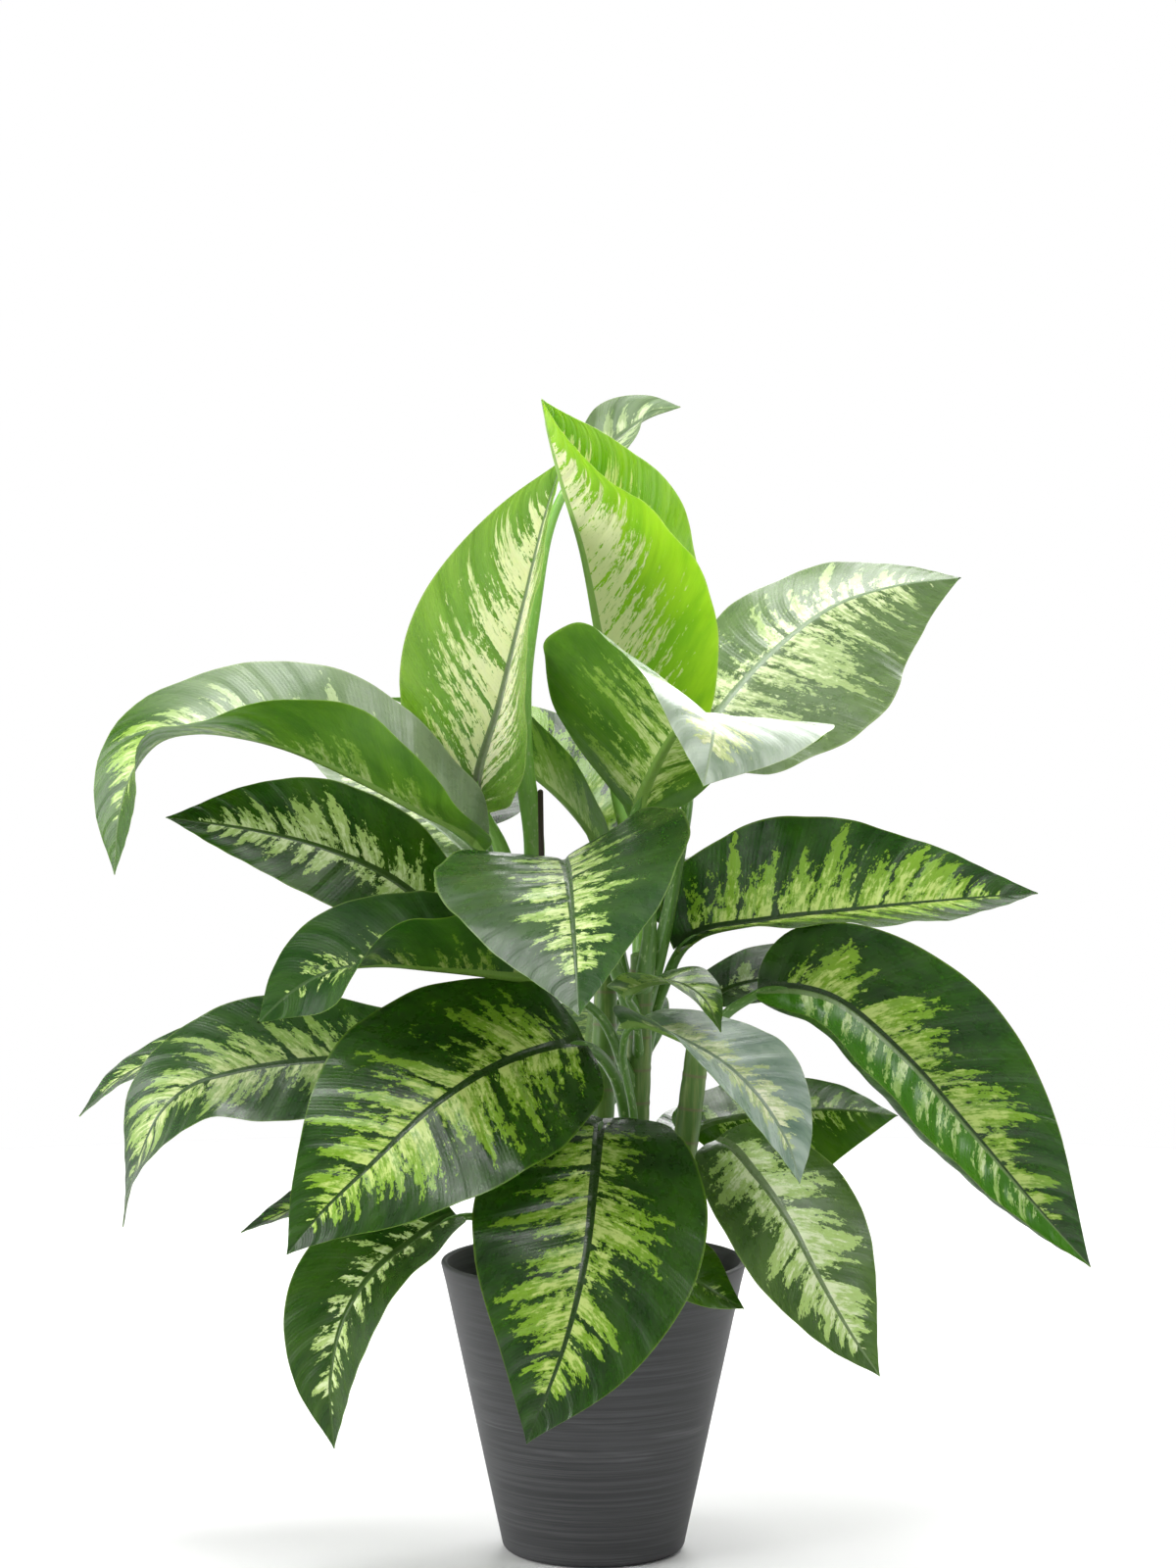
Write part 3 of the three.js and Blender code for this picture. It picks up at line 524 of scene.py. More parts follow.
# %% Canes
CANE_FOOT_RADIUS = 11 * MM
CANE_TOP_RADIUS = 8.5 * MM
RING_SPACING = 24 * MM
CANE_ROWS = 110
CANE_SIDES = 28
CANES = {
  "a": [[-25, 15, 120], [-33, 16, 240], [-44, 13, 370], [-50, 10, 470]],
  "b": [[25, 10, 120], [27, 8, 230], [32, 2, 340], [35, -5, 430]],
  "c": [[45, -20, 120], [55, -22, 220], [66, -24, 300], [75, -25, 370]],
  "d": [[-35, -35, 120], [-39, -40, 200], [-40, -46, 290], [-40, -50, 360]],
  "e": [[0, 55, 120], [3, 62, 220], [7, 72, 330], [10, 80, 420]],
}

cane_lines = {}
for name, points in CANES.items():
    cane_lines[name] = SmoothLine([Vector(p) * MM for p in points])


def cane_point(name, height):
    """The point on a cane's axis at a height."""
    line = cane_lines[name]
    low, high = 0.0, 1.0
    for _ in range(24):
        middle = (low + high) / 2
        if line.at(middle).z < height:
            low = middle
        else:
            high = middle
    return line.at(low)


def ring_swell(walked):
    """How much a cane swells at a place: rings where leaves fell, a waist between them."""
    phase = walked / RING_SPACING % 1.0
    return 0.07 * math.exp(-((phase - 0.5) / 0.07) ** 2) - 0.05 * math.sin(phase * math.pi) ** 4


def cane_material():
    material, tree, shader = new_material("ringed_cane", Roughness=0.42, Specular_IOR_Level=0.4)
    uv = put(tree, "ShaderNodeUVMap", uv_map="blade").outputs[0]
    split = put(tree, "ShaderNodeSeparateXYZ", {0: uv})
    place = put(tree, "ShaderNodeTexCoord").outputs["Object"]
    streaks = grain_of(tree, place, (220, 220, 14), 1.0, 4.0)
    cloud = grain_of(tree, place, (1, 1, 1), 26.0, 3.0)
    tone = blend_of(tree, cloud, (0.050, 0.125, 0.018), (0.11, 0.22, 0.035))
    tone = blend_of(tree, step_of(tree, streaks, 0.45, 0.75), tone, (0.19, 0.27, 0.07))
    spacing = RING_SPACING * 100  # the UV map holds centimetres
    ring = sum_of(tree, "PINGPONG", split.outputs[1], spacing / 2)
    corky = step_of(tree, ring, 0.42 * spacing, 0.5 * spacing)
    tone = blend_of(tree, sum_of(tree, "MULTIPLY", corky, 0.75), tone, (0.15, 0.13, 0.06))
    tree.links.new(tone, shader.inputs["Base Color"])
    rough_up(tree, shader, streaks, 0.0005, 0.5)
    return material


ringed = cane_material()
for name, line in cane_lines.items():
    bm = new_plant_bmesh()
    stations = [(line.at(0), line.along(0), 0.0, plain)]
    for i in range(CANE_ROWS + 1):
        t = i / CANE_ROWS
        radius = mix(CANE_FOOT_RADIUS, CANE_TOP_RADIUS, t)
        radius *= 1 + ring_swell(t * line.total)
        stations.append((line.at(t), line.along(t), radius, plain))
    tip, end = line.at(1), line.along(1)
    for rise, share in ((1.2, 0.85), (2.4, 0.55), (3.0, 0.0)):
        stations.append((tip + end * rise * MM, end, CANE_TOP_RADIUS * share, plain))
    add_tube(bm, stations, CANE_SIDES, Vector((1, 0, 0)))
    keep_piece(bm, f"cane_{name}_grown", f"cane_{name}", [ringed])
print("canes:", len(cane_lines))


# %% Stake
def stake_material():
    material, tree, shader = new_material("dark_rod", Roughness=0.6, Specular_IOR_Level=0.3)
    place = put(tree, "ShaderNodeTexCoord").outputs["Object"]
    fibres = grain_of(tree, place, (900, 900, 30), 1.0, 4.0)
    tree.links.new(blend_of(tree, fibres, (0.022, 0.017, 0.012), (0.085, 0.062, 0.042)),
                   shader.inputs["Base Color"])
    rough_up(tree, shader, fibres, 0.0004, 0.6)
    return material


STAKE = [[-31, -12, 60], [-38, -10, 548]]
STAKE_RADIUS = 2 * MM
STAKE_ROWS = 12
STAKE_SIDES = 16

low, high = (Vector(p) * MM for p in STAKE)
direction = (high - low).normalized()
stations = [(low, direction, 0.0, plain)]
for i in range(STAKE_ROWS + 1):
    stations.append((low.lerp(high, i / STAKE_ROWS), direction, STAKE_RADIUS, plain))
for rise, share in ((0.8, 0.85), (1.4, 0.5), (1.7, 0.0)):
    stations.append((high + direction * rise * MM, direction, STAKE_RADIUS * share, plain))
bm = new_plant_bmesh()
add_tube(bm, stations, STAKE_SIDES, Vector((1, 0, 0)))
keep_piece(bm, "stake_rod", "support_stake", [stake_material()])
print("stake length:", round((high - low).length, 3))

# %% [markdown]
# ## Leaves
# Each leaf is drawn by a few named facts: the cane and height it grows from, points of its stalk
# and midrib, which way its upper side looks, its half width, how far each half folds up and how
# it curls. Lengths are in millimetres and angles in degrees, as in the construction model.
#
# - `face` and each half's `fold` hold values at even steps from the base to the tip, and a lone
#   value holds all along
# - `fold` and `curl` have one entry for the left half and one for the right half, and where they
#   aren't named, both halves fold up by 8 degrees and don't curl
# - `lobe` is how far the corners of the base sweep back
# - `stem` is the radius of the sheath and of the stalk's middle, where they are stouter than usual

# %% Leaf facts
USUAL_FOLD = ([8], [8])
USUAL_CURL = (0, 0)

LEAVES = [
    dict(name="leaf_crown_left", cane="a", at=452, half=77, lobe=14, stalk=[(-67, 0, 508)],
         stem=(6.8, 6.2), rib=[(-83, 0, 546), (-66, -10, 613), (-50, -14, 679), (-35, -15, 742),
         (-22, -12, 785)], face=[(0, -1, 0)], fold=([4], [52, 84, 84])),
    dict(name="leaf_crown_right", cane="b", at=418, half=88, lobe=14, stalk=[(33, 12, 480)],
         stem=(6.7, 6.7), rib=[(19, 25, 552), (11, 18, 620), (2, 4, 671), (-8, -22, 721),
         (-22, -62, 767), (-31, -100, 801), (-35, -125, 822)], face=[(1, 0.35, 0.1)],
         fold=([75, 57, 50, 26], [75, 78, 88, 80])),
    dict(name="leaf_crown_back", cane="a", at=440, half=28, lobe=4, stalk=[(-43, 18, 505),
         (-50, 15, 566), (-51, 14, 622), (-43, 36, 680), (-32, 54, 736), (-18, 70, 768)], stem=(7.5, 7),
         rib=[(-3, 86, 786), (15, 98, 801), (38, 104, 818), (64, 96, 827)], face=[(0.4, -0.9, 0.3),
         (0, -0.7, 0.7)], fold=([15], [60, 62])),
    dict(name="leaf_centre_folded", cane="b", at=400, half=110, lobe=7, stalk=[(40, -22, 450),
         (38, -30, 495)], rib=[(32, -36, 534), (43, -74, 568), (57, -114, 595), (74, -157, 610),
         (79, -205, 598), (72, -238, 564)], face=[(0.42, 0, 0.9)], fold=([58, 22, -5], [20, 14, 9])),
    dict(name="leaf_right_upper", cane="b", at=385, half=96, lobe=13, stalk=[(52, 8, 450),
         (66, 35, 525)], rib=[(73, 62, 574), (94, 86, 606), (133, 122, 646), (182, 158, 680),
         (231, 186, 695), (283, 212, 701)], face=[(-0.3, -0.8, 0.5)], fold=([-30, -20], [-16, -12])),
    dict(name="leaf_right_mid", cane="b", at=345, half=81, lobe=12, stalk=[(50, 8, 405)],
         rib=[(68, 15, 440), (125, 30, 452), (185, 45, 458), (250, 55, 464), (326, 60, 470)],
         face=[(0, -0.6, 0.8)], fold=([30, 10], [40, 25])),
    dict(name="leaf_right_arching", cane="c", at=355, half=71, lobe=11, stalk=[(90, -30, 386),
         (109, -37, 402)], rib=[(126, -42, 410), (167, -55, 405), (216, -68, 367), (265, -78, 313),
         (309, -84, 262), (348, -85, 219)], face=[(0, -1, 0.2), (0, -1, 0.1)], fold=([0], [8, 5]),
         curl=(0, 107)),
    dict(name="leaf_right_under", cane="c", at=335, half=55, lobe=8, stalk=[(80, -10, 372)],
         rib=[(88, 8, 399), (125, 14, 411), (170, 18, 409), (215, 18, 388), (250, 14, 352)],
         face=[(0, -0.3, 0.95), (0.3, -0.3, 0.9)], fold=([5], [5])),
    dict(name="leaf_right_low_back", cane="c", at=245, half=56, lobe=9, stalk=[(66, 2, 280)],
         rib=[(76, 30, 301), (122, 55, 308), (172, 80, 308), (227, 95, 301)], face=[(0, -0.85, 0.5)],
         fold=([-42, -30], [0])),
    dict(name="leaf_front_right", cane="b", at=270, half=50, lobe=8, stalk=[(28, -42, 322),
         (20, -76, 372)], rib=[(27, -97, 392), (63, -122, 382), (93, -145, 366), (116, -158, 343),
         (132, -164, 316), (140, -166, 290)], face=[(0.2, -0.4, 0.9), (0.2, -0.9, 0.4)],
         fold=([0], [40])),
    dict(name="leaf_front_right_small", cane="b", at=352, half=30, lobe=5, stalk=[(30, -34, 392)],
         rib=[(25, -56, 408), (40, -78, 418), (58, -97, 420), (76, -112, 410), (88, -118, 388)],
         face=[(0.2, -0.3, 0.9), (0.6, -0.5, 0.6)], fold=([15], [15])),
    dict(name="leaf_low_right", cane="c", at=240, half=56, lobe=8, stalk=[(74, -45, 285)],
         rib=[(91, -70, 305), (114, -90, 284), (136, -108, 254), (156, -122, 217), (177, -132, 181),
         (197, -136, 152)], face=[(0.3, -0.7, 0.6), (0.5, -0.8, 0.3)], fold=([6], [6])),
    dict(name="leaf_rim_right", cane="b", at=195, half=28, lobe=4, stalk=[(30, -34, 225)],
         rib=[(38, -84, 238), (60, -112, 223), (82, -123, 209), (104, -125, 197)],
         face=[(0.1, -0.6, 0.8), (0.3, -0.7, 0.6)]),
    dict(name="leaf_centre_heart", cane="b", at=376, half=92, lobe=16, stalk=[(12, -26, 432),
         (-6, -44, 480)], rib=[(-20, -64, 503), (-18, -130, 499), (-15, -195, 480), (-12, -250, 448),
         (-10, -286, 418)], face=[(-0.2, -0.1, 0.9)], fold=([18, 14], [18, 14])),
    dict(name="leaf_left_arching", cane="a", at=425, half=71, lobe=11, stalk=[(-64, -14, 480)],
         rib=[(-84, -38, 516), (-125, -44, 538), (-161, -48, 557), (-213, -50, 580), (-248, -48, 589),
         (-280, -46, 592), (-306, -45, 586), (-324, -44, 566), (-335, -44, 534), (-339, -44, 491)],
         face=[(0, -0.36, 0.93), (0, -0.36, 0.93), (-0.4, -0.4, 0.8), (-0.6, -0.8, 0.1)],
         fold=([34, 64, 34, 10], [25, 42, 16, 10])),
    dict(name="leaf_left_mid", cane="d", at=340, half=60, lobe=9, stalk=[(-60, -34, 400),
         (-88, -8, 438)], rib=[(-112, 10, 457), (-145, 2, 485), (-190, -14, 507), (-238, -30, 521),
         (-302, -45, 532)], face=[(0, -0.7, 0.7)]),
    dict(name="leaf_left_trough", cane="b", at=325, half=68, lobe=6, stalk=[(4, -30, 390)],
         rib=[(-28, -60, 415), (-70, -88, 425), (-113, -105, 431), (-149, -112, 434), (-181, -118, 430),
         (-207, -124, 417), (-231, -128, 395)], face=[(0, 0, 1), (0, -0.1, 1), (-0.4, -0.85, 0.3)],
         fold=([76, 42, -20], [50, 42, 5])),
    dict(name="leaf_left_low", cane="d", at=285, half=58, lobe=9, stalk=[(-66, -30, 330), (-98, 0, 352)],
         rib=[(-125, 13, 356), (-180, 0, 355), (-225, -15, 353), (-259, -27, 348), (-286, -36, 340),
         (-307, -40, 322), (-321, -42, 294), (-330, -42, 266), (-335, -42, 240)],
         face=[(-0.1, -0.75, 0.65), (-0.1, -0.75, 0.65), (-0.6, -0.6, 0.5), (-1, -0.1, 0.1)]),
    dict(name="leaf_left_low_back", cane="a", at=315, half=46, lobe=7, stalk=[(-75, 38, 362),
         (-130, 60, 370)], rib=[(-199, 62, 366), (-263, 58, 361), (-316, 50, 349), (-347, 45, 335),
         (-376, 40, 308)], face=[(0, -0.2, 1), (-0.2, -0.2, 1)], fold=([6], [6])),
    dict(name="leaf_front_left", cane="b", at=290, half=86, lobe=6, stalk=[(14, -44, 350)],
         rib=[(-8, -94, 378), (-58, -127, 370), (-106, -162, 345), (-152, -192, 305), (-184, -207, 275),
         (-205, -214, 250)], face=[(-0.15, -0.85, 0.5)], fold=([6], [-4, 6])),
    dict(name="leaf_front_centre", cane="b", at=230, half=80, lobe=12, stalk=[(18, -40, 285),
         (10, -74, 316)], rib=[(5, -97, 322), (0, -148, 288), (-6, -190, 242), (-20, -214, 188),
         (-45, -226, 125)], face=[(0, -0.8, 0.6), (0, -0.9, 0.4)], fold=([6], [6])),
    dict(name="leaf_low_left", cane="d", at=195, half=49, lobe=8, stalk=[(-60, -56, 236),
         (-82, -66, 252)], rib=[(-102, -78, 252), (-128, -98, 238), (-152, -115, 221), (-172, -128, 191),
         (-181, -135, 151), (-179, -137, 102)], face=[(-0.3, -0.8, 0.5), (-0.4, -0.9, 0.2)],
         fold=([38, 30], [8])),
    dict(name="leaf_left_peek", cane="a", at=205, half=34, lobe=5, stalk=[(-65, 30, 242),
         (-102, 46, 262)], rib=[(-134, 58, 265), (-185, 62, 252), (-224, 57, 236), (-259, 50, 221)],
         face=[(0, -0.15, 1)]),
    dict(name="leaf_back_centre", cane="b", at=372, half=64, lobe=9, stalk=[(20, 22, 430),
         (14, 24, 475)], rib=[(5, 24, 505), (-20, 46, 537), (-58, 74, 566), (-102, 94, 590),
         (-150, 106, 612)], face=[(0.3, 0, 0.9)], fold=([45, 40], [45, 40])),
    dict(name="leaf_left_behind", cane="a", at=400, half=45, lobe=6, stalk=[(-66, 34, 455)],
         rib=[(-92, 58, 500), (-150, 80, 540), (-208, 92, 565)], face=[(0, -0.5, 0.85)]),
    dict(name="leaf_rear_top", cane="e", at=408, half=72, lobe=11, stalk=[(14, 100, 470)],
         rib=[(20, 130, 520), (25, 180, 556), (30, 235, 566), (34, 288, 545), (36, 330, 500)],
         face=[(0, -0.2, 1), (0, 0.6, 0.8)], fold=([12, 10], [12, 10])),
    dict(name="leaf_rear_left", cane="e", at=385, half=66, lobe=10, stalk=[(-12, 108, 425)],
         rib=[(-40, 135, 447), (-90, 180, 462), (-140, 222, 455), (-182, 255, 425), (-208, 275, 385)],
         face=[(0, 0, 1), (-0.5, 0.5, 0.7)]),
    dict(name="leaf_rear_right", cane="e", at=360, half=66, lobe=10, stalk=[(36, 105, 410)],
         rib=[(62, 128, 445), (112, 170, 475), (165, 212, 485), (208, 248, 472), (238, 272, 442)],
         face=[(0, 0, 1), (0.5, 0.5, 0.7)]),
    dict(name="leaf_rear_low", cane="e", at=320, half=62, lobe=9, stalk=[(6, 112, 360)],
         rib=[(4, 145, 375), (0, 195, 370), (-4, 240, 340), (-6, 272, 298), (-6, 290, 252)],
         face=[(0, 0.2, 1), (0, 0.8, 0.6)]),
    dict(name="leaf_rear_low_left", cane="e", at=250, half=52, lobe=8, stalk=[(-28, 92, 290)],
         rib=[(-58, 122, 308), (-100, 162, 305), (-138, 198, 280), (-165, 225, 240)],
         face=[(-0.1, 0.1, 1), (-0.4, 0.5, 0.7)]),
    dict(name="leaf_rear_low_right", cane="e", at=225, half=52, lobe=8, stalk=[(34, 90, 265)],
         rib=[(66, 118, 285), (108, 156, 288), (148, 192, 268), (178, 220, 230)], face=[(0.1, 0.1, 1),
         (0.4, 0.5, 0.7)]),
    dict(name="leaf_rear_upper_left", cane="a", at=385, half=60, lobe=9, stalk=[(-56, 52, 440),
         (-72, 88, 490)], rib=[(-86, 118, 520), (-112, 160, 545), (-142, 200, 550), (-170, 235, 530)],
         face=[(0, 0, 1), (-0.3, 0.4, 0.9)]),
]
print("leaves:", len(LEAVES))

# %% [markdown]
# ### From a flat slab to a leaf
# A leaf could be sculpted, but thirty-two of them have to follow their own midribs. So each one
# starts as a grid between -1 and 1, which extrude turns into a thin slab. While the slab is flat,
# its places go into the UV maps, and then every vertex is moved: x says how far across the blade it
# is, y how far along, and z whether it is on the upper or the lower skin.

# %% Leaf surface
BLADE_COLUMNS = 44
BLADE_ROWS = 76
ROW_BIAS = 1.2  # over 1: rows stand closer together near the base
COLUMN_BIAS = 1.25  # over 1: columns stand closer together near the midrib
LEAST_CURL = 0.01  # degrees, because a curl of nothing has no radius
UPPER_SINK = 0.1  # mm below the construction model's upper skin
BLADE_THICKNESS = 0.75  # mm in the middle
MARGIN_THICKNESS = 0.35  # mm at the edge
JOINT_RADIUS = 3.6  # mm, where the stalk and the midrib meet
MIDRIB_END = 0.93  # part of the length after which the midrib is a mere thread
WIDEST = 0.4  # part of the length at which the blade is widest
BASE_WIDTH = 0.42  # width at the base, as a part of the greatest
ROUNDED_BASE = 0.07  # part of the length over which the base rounds off
VEIN_SLANT = (0.06, 0.50)  # how steeply veins run forward: at the base, and what is added later
YOUNG_SLANT = (0.34, 0.46)  # the same in the young leaves of the crown
CHANNEL_DEPTH = 0.45  # over the midrib, in radii of the midrib
RIDGE_HEIGHT = 1.5  # under it, in the same measure
PLEAT = 23.0  # mm between the gentle folds that follow the main veins
PLEAT_HEIGHT = 0.5  # mm
WAVE = 62.0  # mm from one wave of the margin to the next
WAVE_SHARE = 0.02  # height of the waves, as a part of the half width
DRIFT = 1.6  # mm of slow unevenness
VEIN_UNIT = 10.0  # mm in one unit of the UV map "vein"


def outline(t):
    """Half width of the blade at t, as a part of the greatest."""
    if t < WIDEST:
        wide = mix(BASE_WIDTH, 1.0, math.sin((t / WIDEST) ** 0.85 * math.pi / 2))
    else:
        wide = max(0.0, 1 - ((t - WIDEST) / (1 - WIDEST)) ** 1.9) ** 1.15
    if t < ROUNDED_BASE:
        wide *= math.sqrt(1 - (1 - t / ROUNDED_BASE) ** 2)
    return wide


def leaf_size(leaf):
    """Scales stalk and midrib with the blade, within limits."""
    return min(1.1, max(0.7, leaf["half"] / 80))


class LeafRow:
    """Everything that the points of one row across the blade share."""

    def __init__(self, leaf, rib, t):
        self.leaf = leaf
        self.t = t
        self.origin = rib.at(t)
        self.tangent = rib.along(t)
        face = eased([Vector(f).normalized() for f in leaf["face"]], t)
        self.normal = (face - self.tangent * face.dot(self.tangent)).normalized()
        self.right = self.tangent.cross(self.normal)
        self.half = leaf["half"] * outline(t)
        self.fold = [math.radians(eased(half, t)) for half in leaf.get("fold", USUAL_FOLD)]
        self.curl = [math.radians(turn + LEAST_CURL) for turn in leaf.get("curl", USUAL_CURL)]
        size = leaf_size(leaf)
        fade = math.sqrt(min(1.0, t / MIDRIB_END))
        self.rib_radius = mix(JOINT_RADIUS, 0.35, fade) * size * (1 if t < MIDRIB_END else 0.5)

    def point(self, v, skin, rib_length, seed):
        """The place of the vertex at v across, on the upper (1) or the lower (0) skin, in mm."""
        leaf, t = self.leaf, self.t
        hand = 0 if v < 0 else 1
        reach = abs(v)
        curl, fold = self.curl[hand], self.fold[hand]
        end = fold + curl * reach
        outward = self.right if hand else -self.right
        across = self.half / curl * (math.sin(end) - math.sin(fold))
        rise = self.half / curl * (math.cos(fold) - math.cos(end))
        back = leaf["lobe"] * reach ** 1.5 * (1 - t) ** 3
        base = self.origin + outward * across + self.normal * rise - self.tangent * back
        up = self.normal if reach == 0 else self.normal * math.cos(end) - outward * math.sin(end)
        return base + up * self.lift(v, skin, rib_length, seed)

    def lift(self, v, skin, rib_length, seed):
        """Height over the plain surface, in mm: pleats, wavy margin, channel, ridge, thickness."""
        leaf, reach, t = self.leaf, abs(v), self.t
        away = reach * self.half
        radius = self.rib_radius
        channel = CHANNEL_DEPTH * radius * math.exp(-(away / (0.75 * radius + 0.5)) ** 2)
        vein = vein_place(t, reach, slant_of(leaf)) * rib_length
        pleat = PLEAT_HEIGHT * math.cos(vein / PLEAT * math.tau + (2.0 if v < 0 else 0.0))
        pleat *= smooth(away / 12) * (1 - 0.5 * reach)
        wave = math.sin(t * rib_length / WAVE * math.tau + seed * 5 + (1.7 if v < 0 else 0.0))
        margin = WAVE_SHARE * leaf_size(leaf) * self.half * wave * reach ** 3
        drift = DRIFT * noise.noise(Vector((t * 3.1, v * 1.4, seed * 17))) * smooth(away / 25)
        if skin:
            return pleat + margin + drift - channel - UPPER_SINK
        thick = mix(BLADE_THICKNESS, MARGIN_THICKNESS, smooth(reach))
        ridge = RIDGE_HEIGHT * radius * math.exp(-(away / (1.05 * radius)) ** 2)
        return pleat + margin + drift - UPPER_SINK - thick - ridge


def slant_of(leaf):
    """How steeply a leaf's side veins run."""
    return YOUNG_SLANT if leaf["name"].startswith("leaf_crown") else VEIN_SLANT


def vein_place(t, reach, slant):
    """The place along the midrib, as a part of its length, from which the vein at t comes.

    Veins run forward on their way out, by reach * (1 - place) * (base + added * place), and this
    is solved for the place. Below the first vein it goes on below zero.
    """
    base, added = slant
    bend = reach ** 1.1
    linear = 1 + bend * (added - base)
    rest = t - bend * base
    return 2 * rest / (linear + math.sqrt(linear ** 2 - 4 * bend * added * rest))


def write_uvs(bm, faces, leaf, rows, seed, rib_length):
    """Writes the flat slab's places into the two UV maps.

    "blade" holds the place along and across. "vein" holds where the vein starts and how far from
    the midrib the place is, shifted by the seed and the half so that no two patterns are alike.
    """
    blade_uv = bm.loops.layers.uv["blade"]
    vein_uv = bm.loops.layers.uv["vein"]
    for face in faces:
        hand = 0 if face.calc_center_median().x < 0 else 1
        for loop in face.loops:
            v, t = across_of(loop.vert.co.x), along_of(loop.vert.co.y)
            row = rows[round((loop.vert.co.y + 1) / 2 * BLADE_ROWS)]
            vein = vein_place(t, abs(v), slant_of(leaf)) * rib_length / VEIN_UNIT
            loop[blade_uv].uv = (t, v * 0.5 + 0.5)
            loop[vein_uv].uv = (vein + seed * 40 + hand * 20, abs(v) * row.half / VEIN_UNIT)


def across_of(x):
    """The place across the blade of a column at x on the flat grid."""
    return math.copysign(abs(x) ** COLUMN_BIAS, x)


def along_of(y):
    """The place along the blade of a row at y on the flat grid."""
    return ((y + 1) / 2) ** ROW_BIAS


def add_blade(bm, leaf, rib, seed):
    """A flat slab with its UV maps, bent onto the leaf's surface."""
    rows = [LeafRow(leaf, rib, (i / BLADE_ROWS) ** ROW_BIAS) for i in range(BLADE_ROWS + 1)]
    grid = bmesh.ops.create_grid(bm, x_segments=BLADE_COLUMNS, y_segments=BLADE_ROWS, size=1.0)
    flat = list({face for vert in grid["verts"] for face in vert.link_faces})
    made = bmesh.ops.extrude_face_region(bm, geom=flat, use_keep_orig=True)["geom"]
    upper = [g for g in made if isinstance(g, bmesh.types.BMVert)]
    bmesh.ops.translate(bm, verts=upper, vec=(0, 0, 1))
    slab = list({face for vert in grid["verts"] + upper for face in vert.link_faces})
    bmesh.ops.recalc_face_normals(bm, faces=slab)
    write_uvs(bm, slab, leaf, rows, seed, rib.total)
    for face in slab:
        face.smooth = True
        face.material_index = 0 if face.calc_center_median().z > 0.75 else 1
        if 0.25 < face.calc_center_median().z < 0.75:
            for edge in face.edges:
                edge.smooth = False
    for vert in grid["verts"] + upper:
        row = rows[round((vert.co.y + 1) / 2 * BLADE_ROWS)]
        vert.co = row.point(across_of(vert.co.x), vert.co.z > 0.5, rib.total, seed) * MM
    bmesh.ops.remove_doubles(bm, verts=grid["verts"] + upper, dist=0.00002)

# %% [markdown]
# ### Stalks
# A stalk clasps its cane with a sheath, then runs on as a round stem with a channel on its upper
# side, and goes over into the midrib under the blade. It is a rolled grid whose radius changes
# with the angle, which draws the channel and the two thin wings of the sheath.

# %% Stalk shape
STALK_SHEATH_RADIUS = 6.6  # mm
STALK_RADIUS = 4.4  # mm, in the stalk's middle
STALK_SIDES = 20
STALK_BEND = 0.45  # part of the length at which the sheath has gone over into the round stalk


def stalk_shape(part):
    """The radius factor by angle, at a part of the stalk's length: 0 at the cane, 1 at the blade."""
    open_wings = 0.30 * (1 - smooth(part / 0.55))
    depth = mix(0.30, 0.12, smooth(part))

    def shape(turn):
        off = math.atan2(math.sin(turn), math.cos(turn))
        channel = depth * math.exp(-(off / 0.42) ** 2)
        wings = open_wings * math.exp(-((abs(off) - 0.75) / 0.2) ** 2)
        return 1 - channel + wings

    return shape


def add_stalk(bm, leaf, whole, stalk_length, rib):
    """The stalk from inside the cane to under the blade."""
    size = leaf_size(leaf)
    first = LeafRow(leaf, rib, 0.0)
    usual = (STALK_SHEATH_RADIUS * size, STALK_RADIUS * size)
    sheath, middle = leaf.get("stem", usual)
    joint = JOINT_RADIUS * size
    count = max(14, round(stalk_length / 5))
    stations = []
    for i in range(count + 1):
        part = i / count
        t = part * stalk_length / whole.total
        if part < STALK_BEND:
            radius = mix(sheath, middle, smooth(part / STALK_BEND))
        else:
            radius = mix(middle, joint, (part - STALK_BEND) / (1 - STALK_BEND))
        sink = joint * smooth((part - 0.5) / 0.5)
        centre = whole.at(t) - first.normal * sink
        stations.append((centre * MM, whole.along(t), radius * MM, stalk_shape(part)))
    for t in (0.02, 0.045, 0.07, 0.1):
        row = LeafRow(leaf, rib, t)
        radius = joint * (1 - 0.9 * smooth(t / 0.1))
        sink = joint * 0.9 + 0.6
        stations.append(((row.origin - row.normal * sink) * MM, row.tangent, radius * MM, plain))
    end, direction = stations[-1][:2]
    stations.append((end + direction * 0.5 * MM, direction, 0.0, plain))
    stations.insert(0, (stations[0][0], stations[0][1], 0.0, plain))
    add_tube(bm, stations, STALK_SIDES, first.normal, material_index=2)

# %% [markdown]
# ### Leaf finish
# The pale patches of a dieffenbachia run out from the midrib along the side veins, so their noise
# is read in vein places: fine across the veins and stretched along them. Long fingers, ragged
# edges and specks are added up, less and less of them towards the rim and at both ends. One step
# cuts the sum into lime patches, and a second one gives them cream hearts. The skin also quilts
# between the veins, which the bump carries.

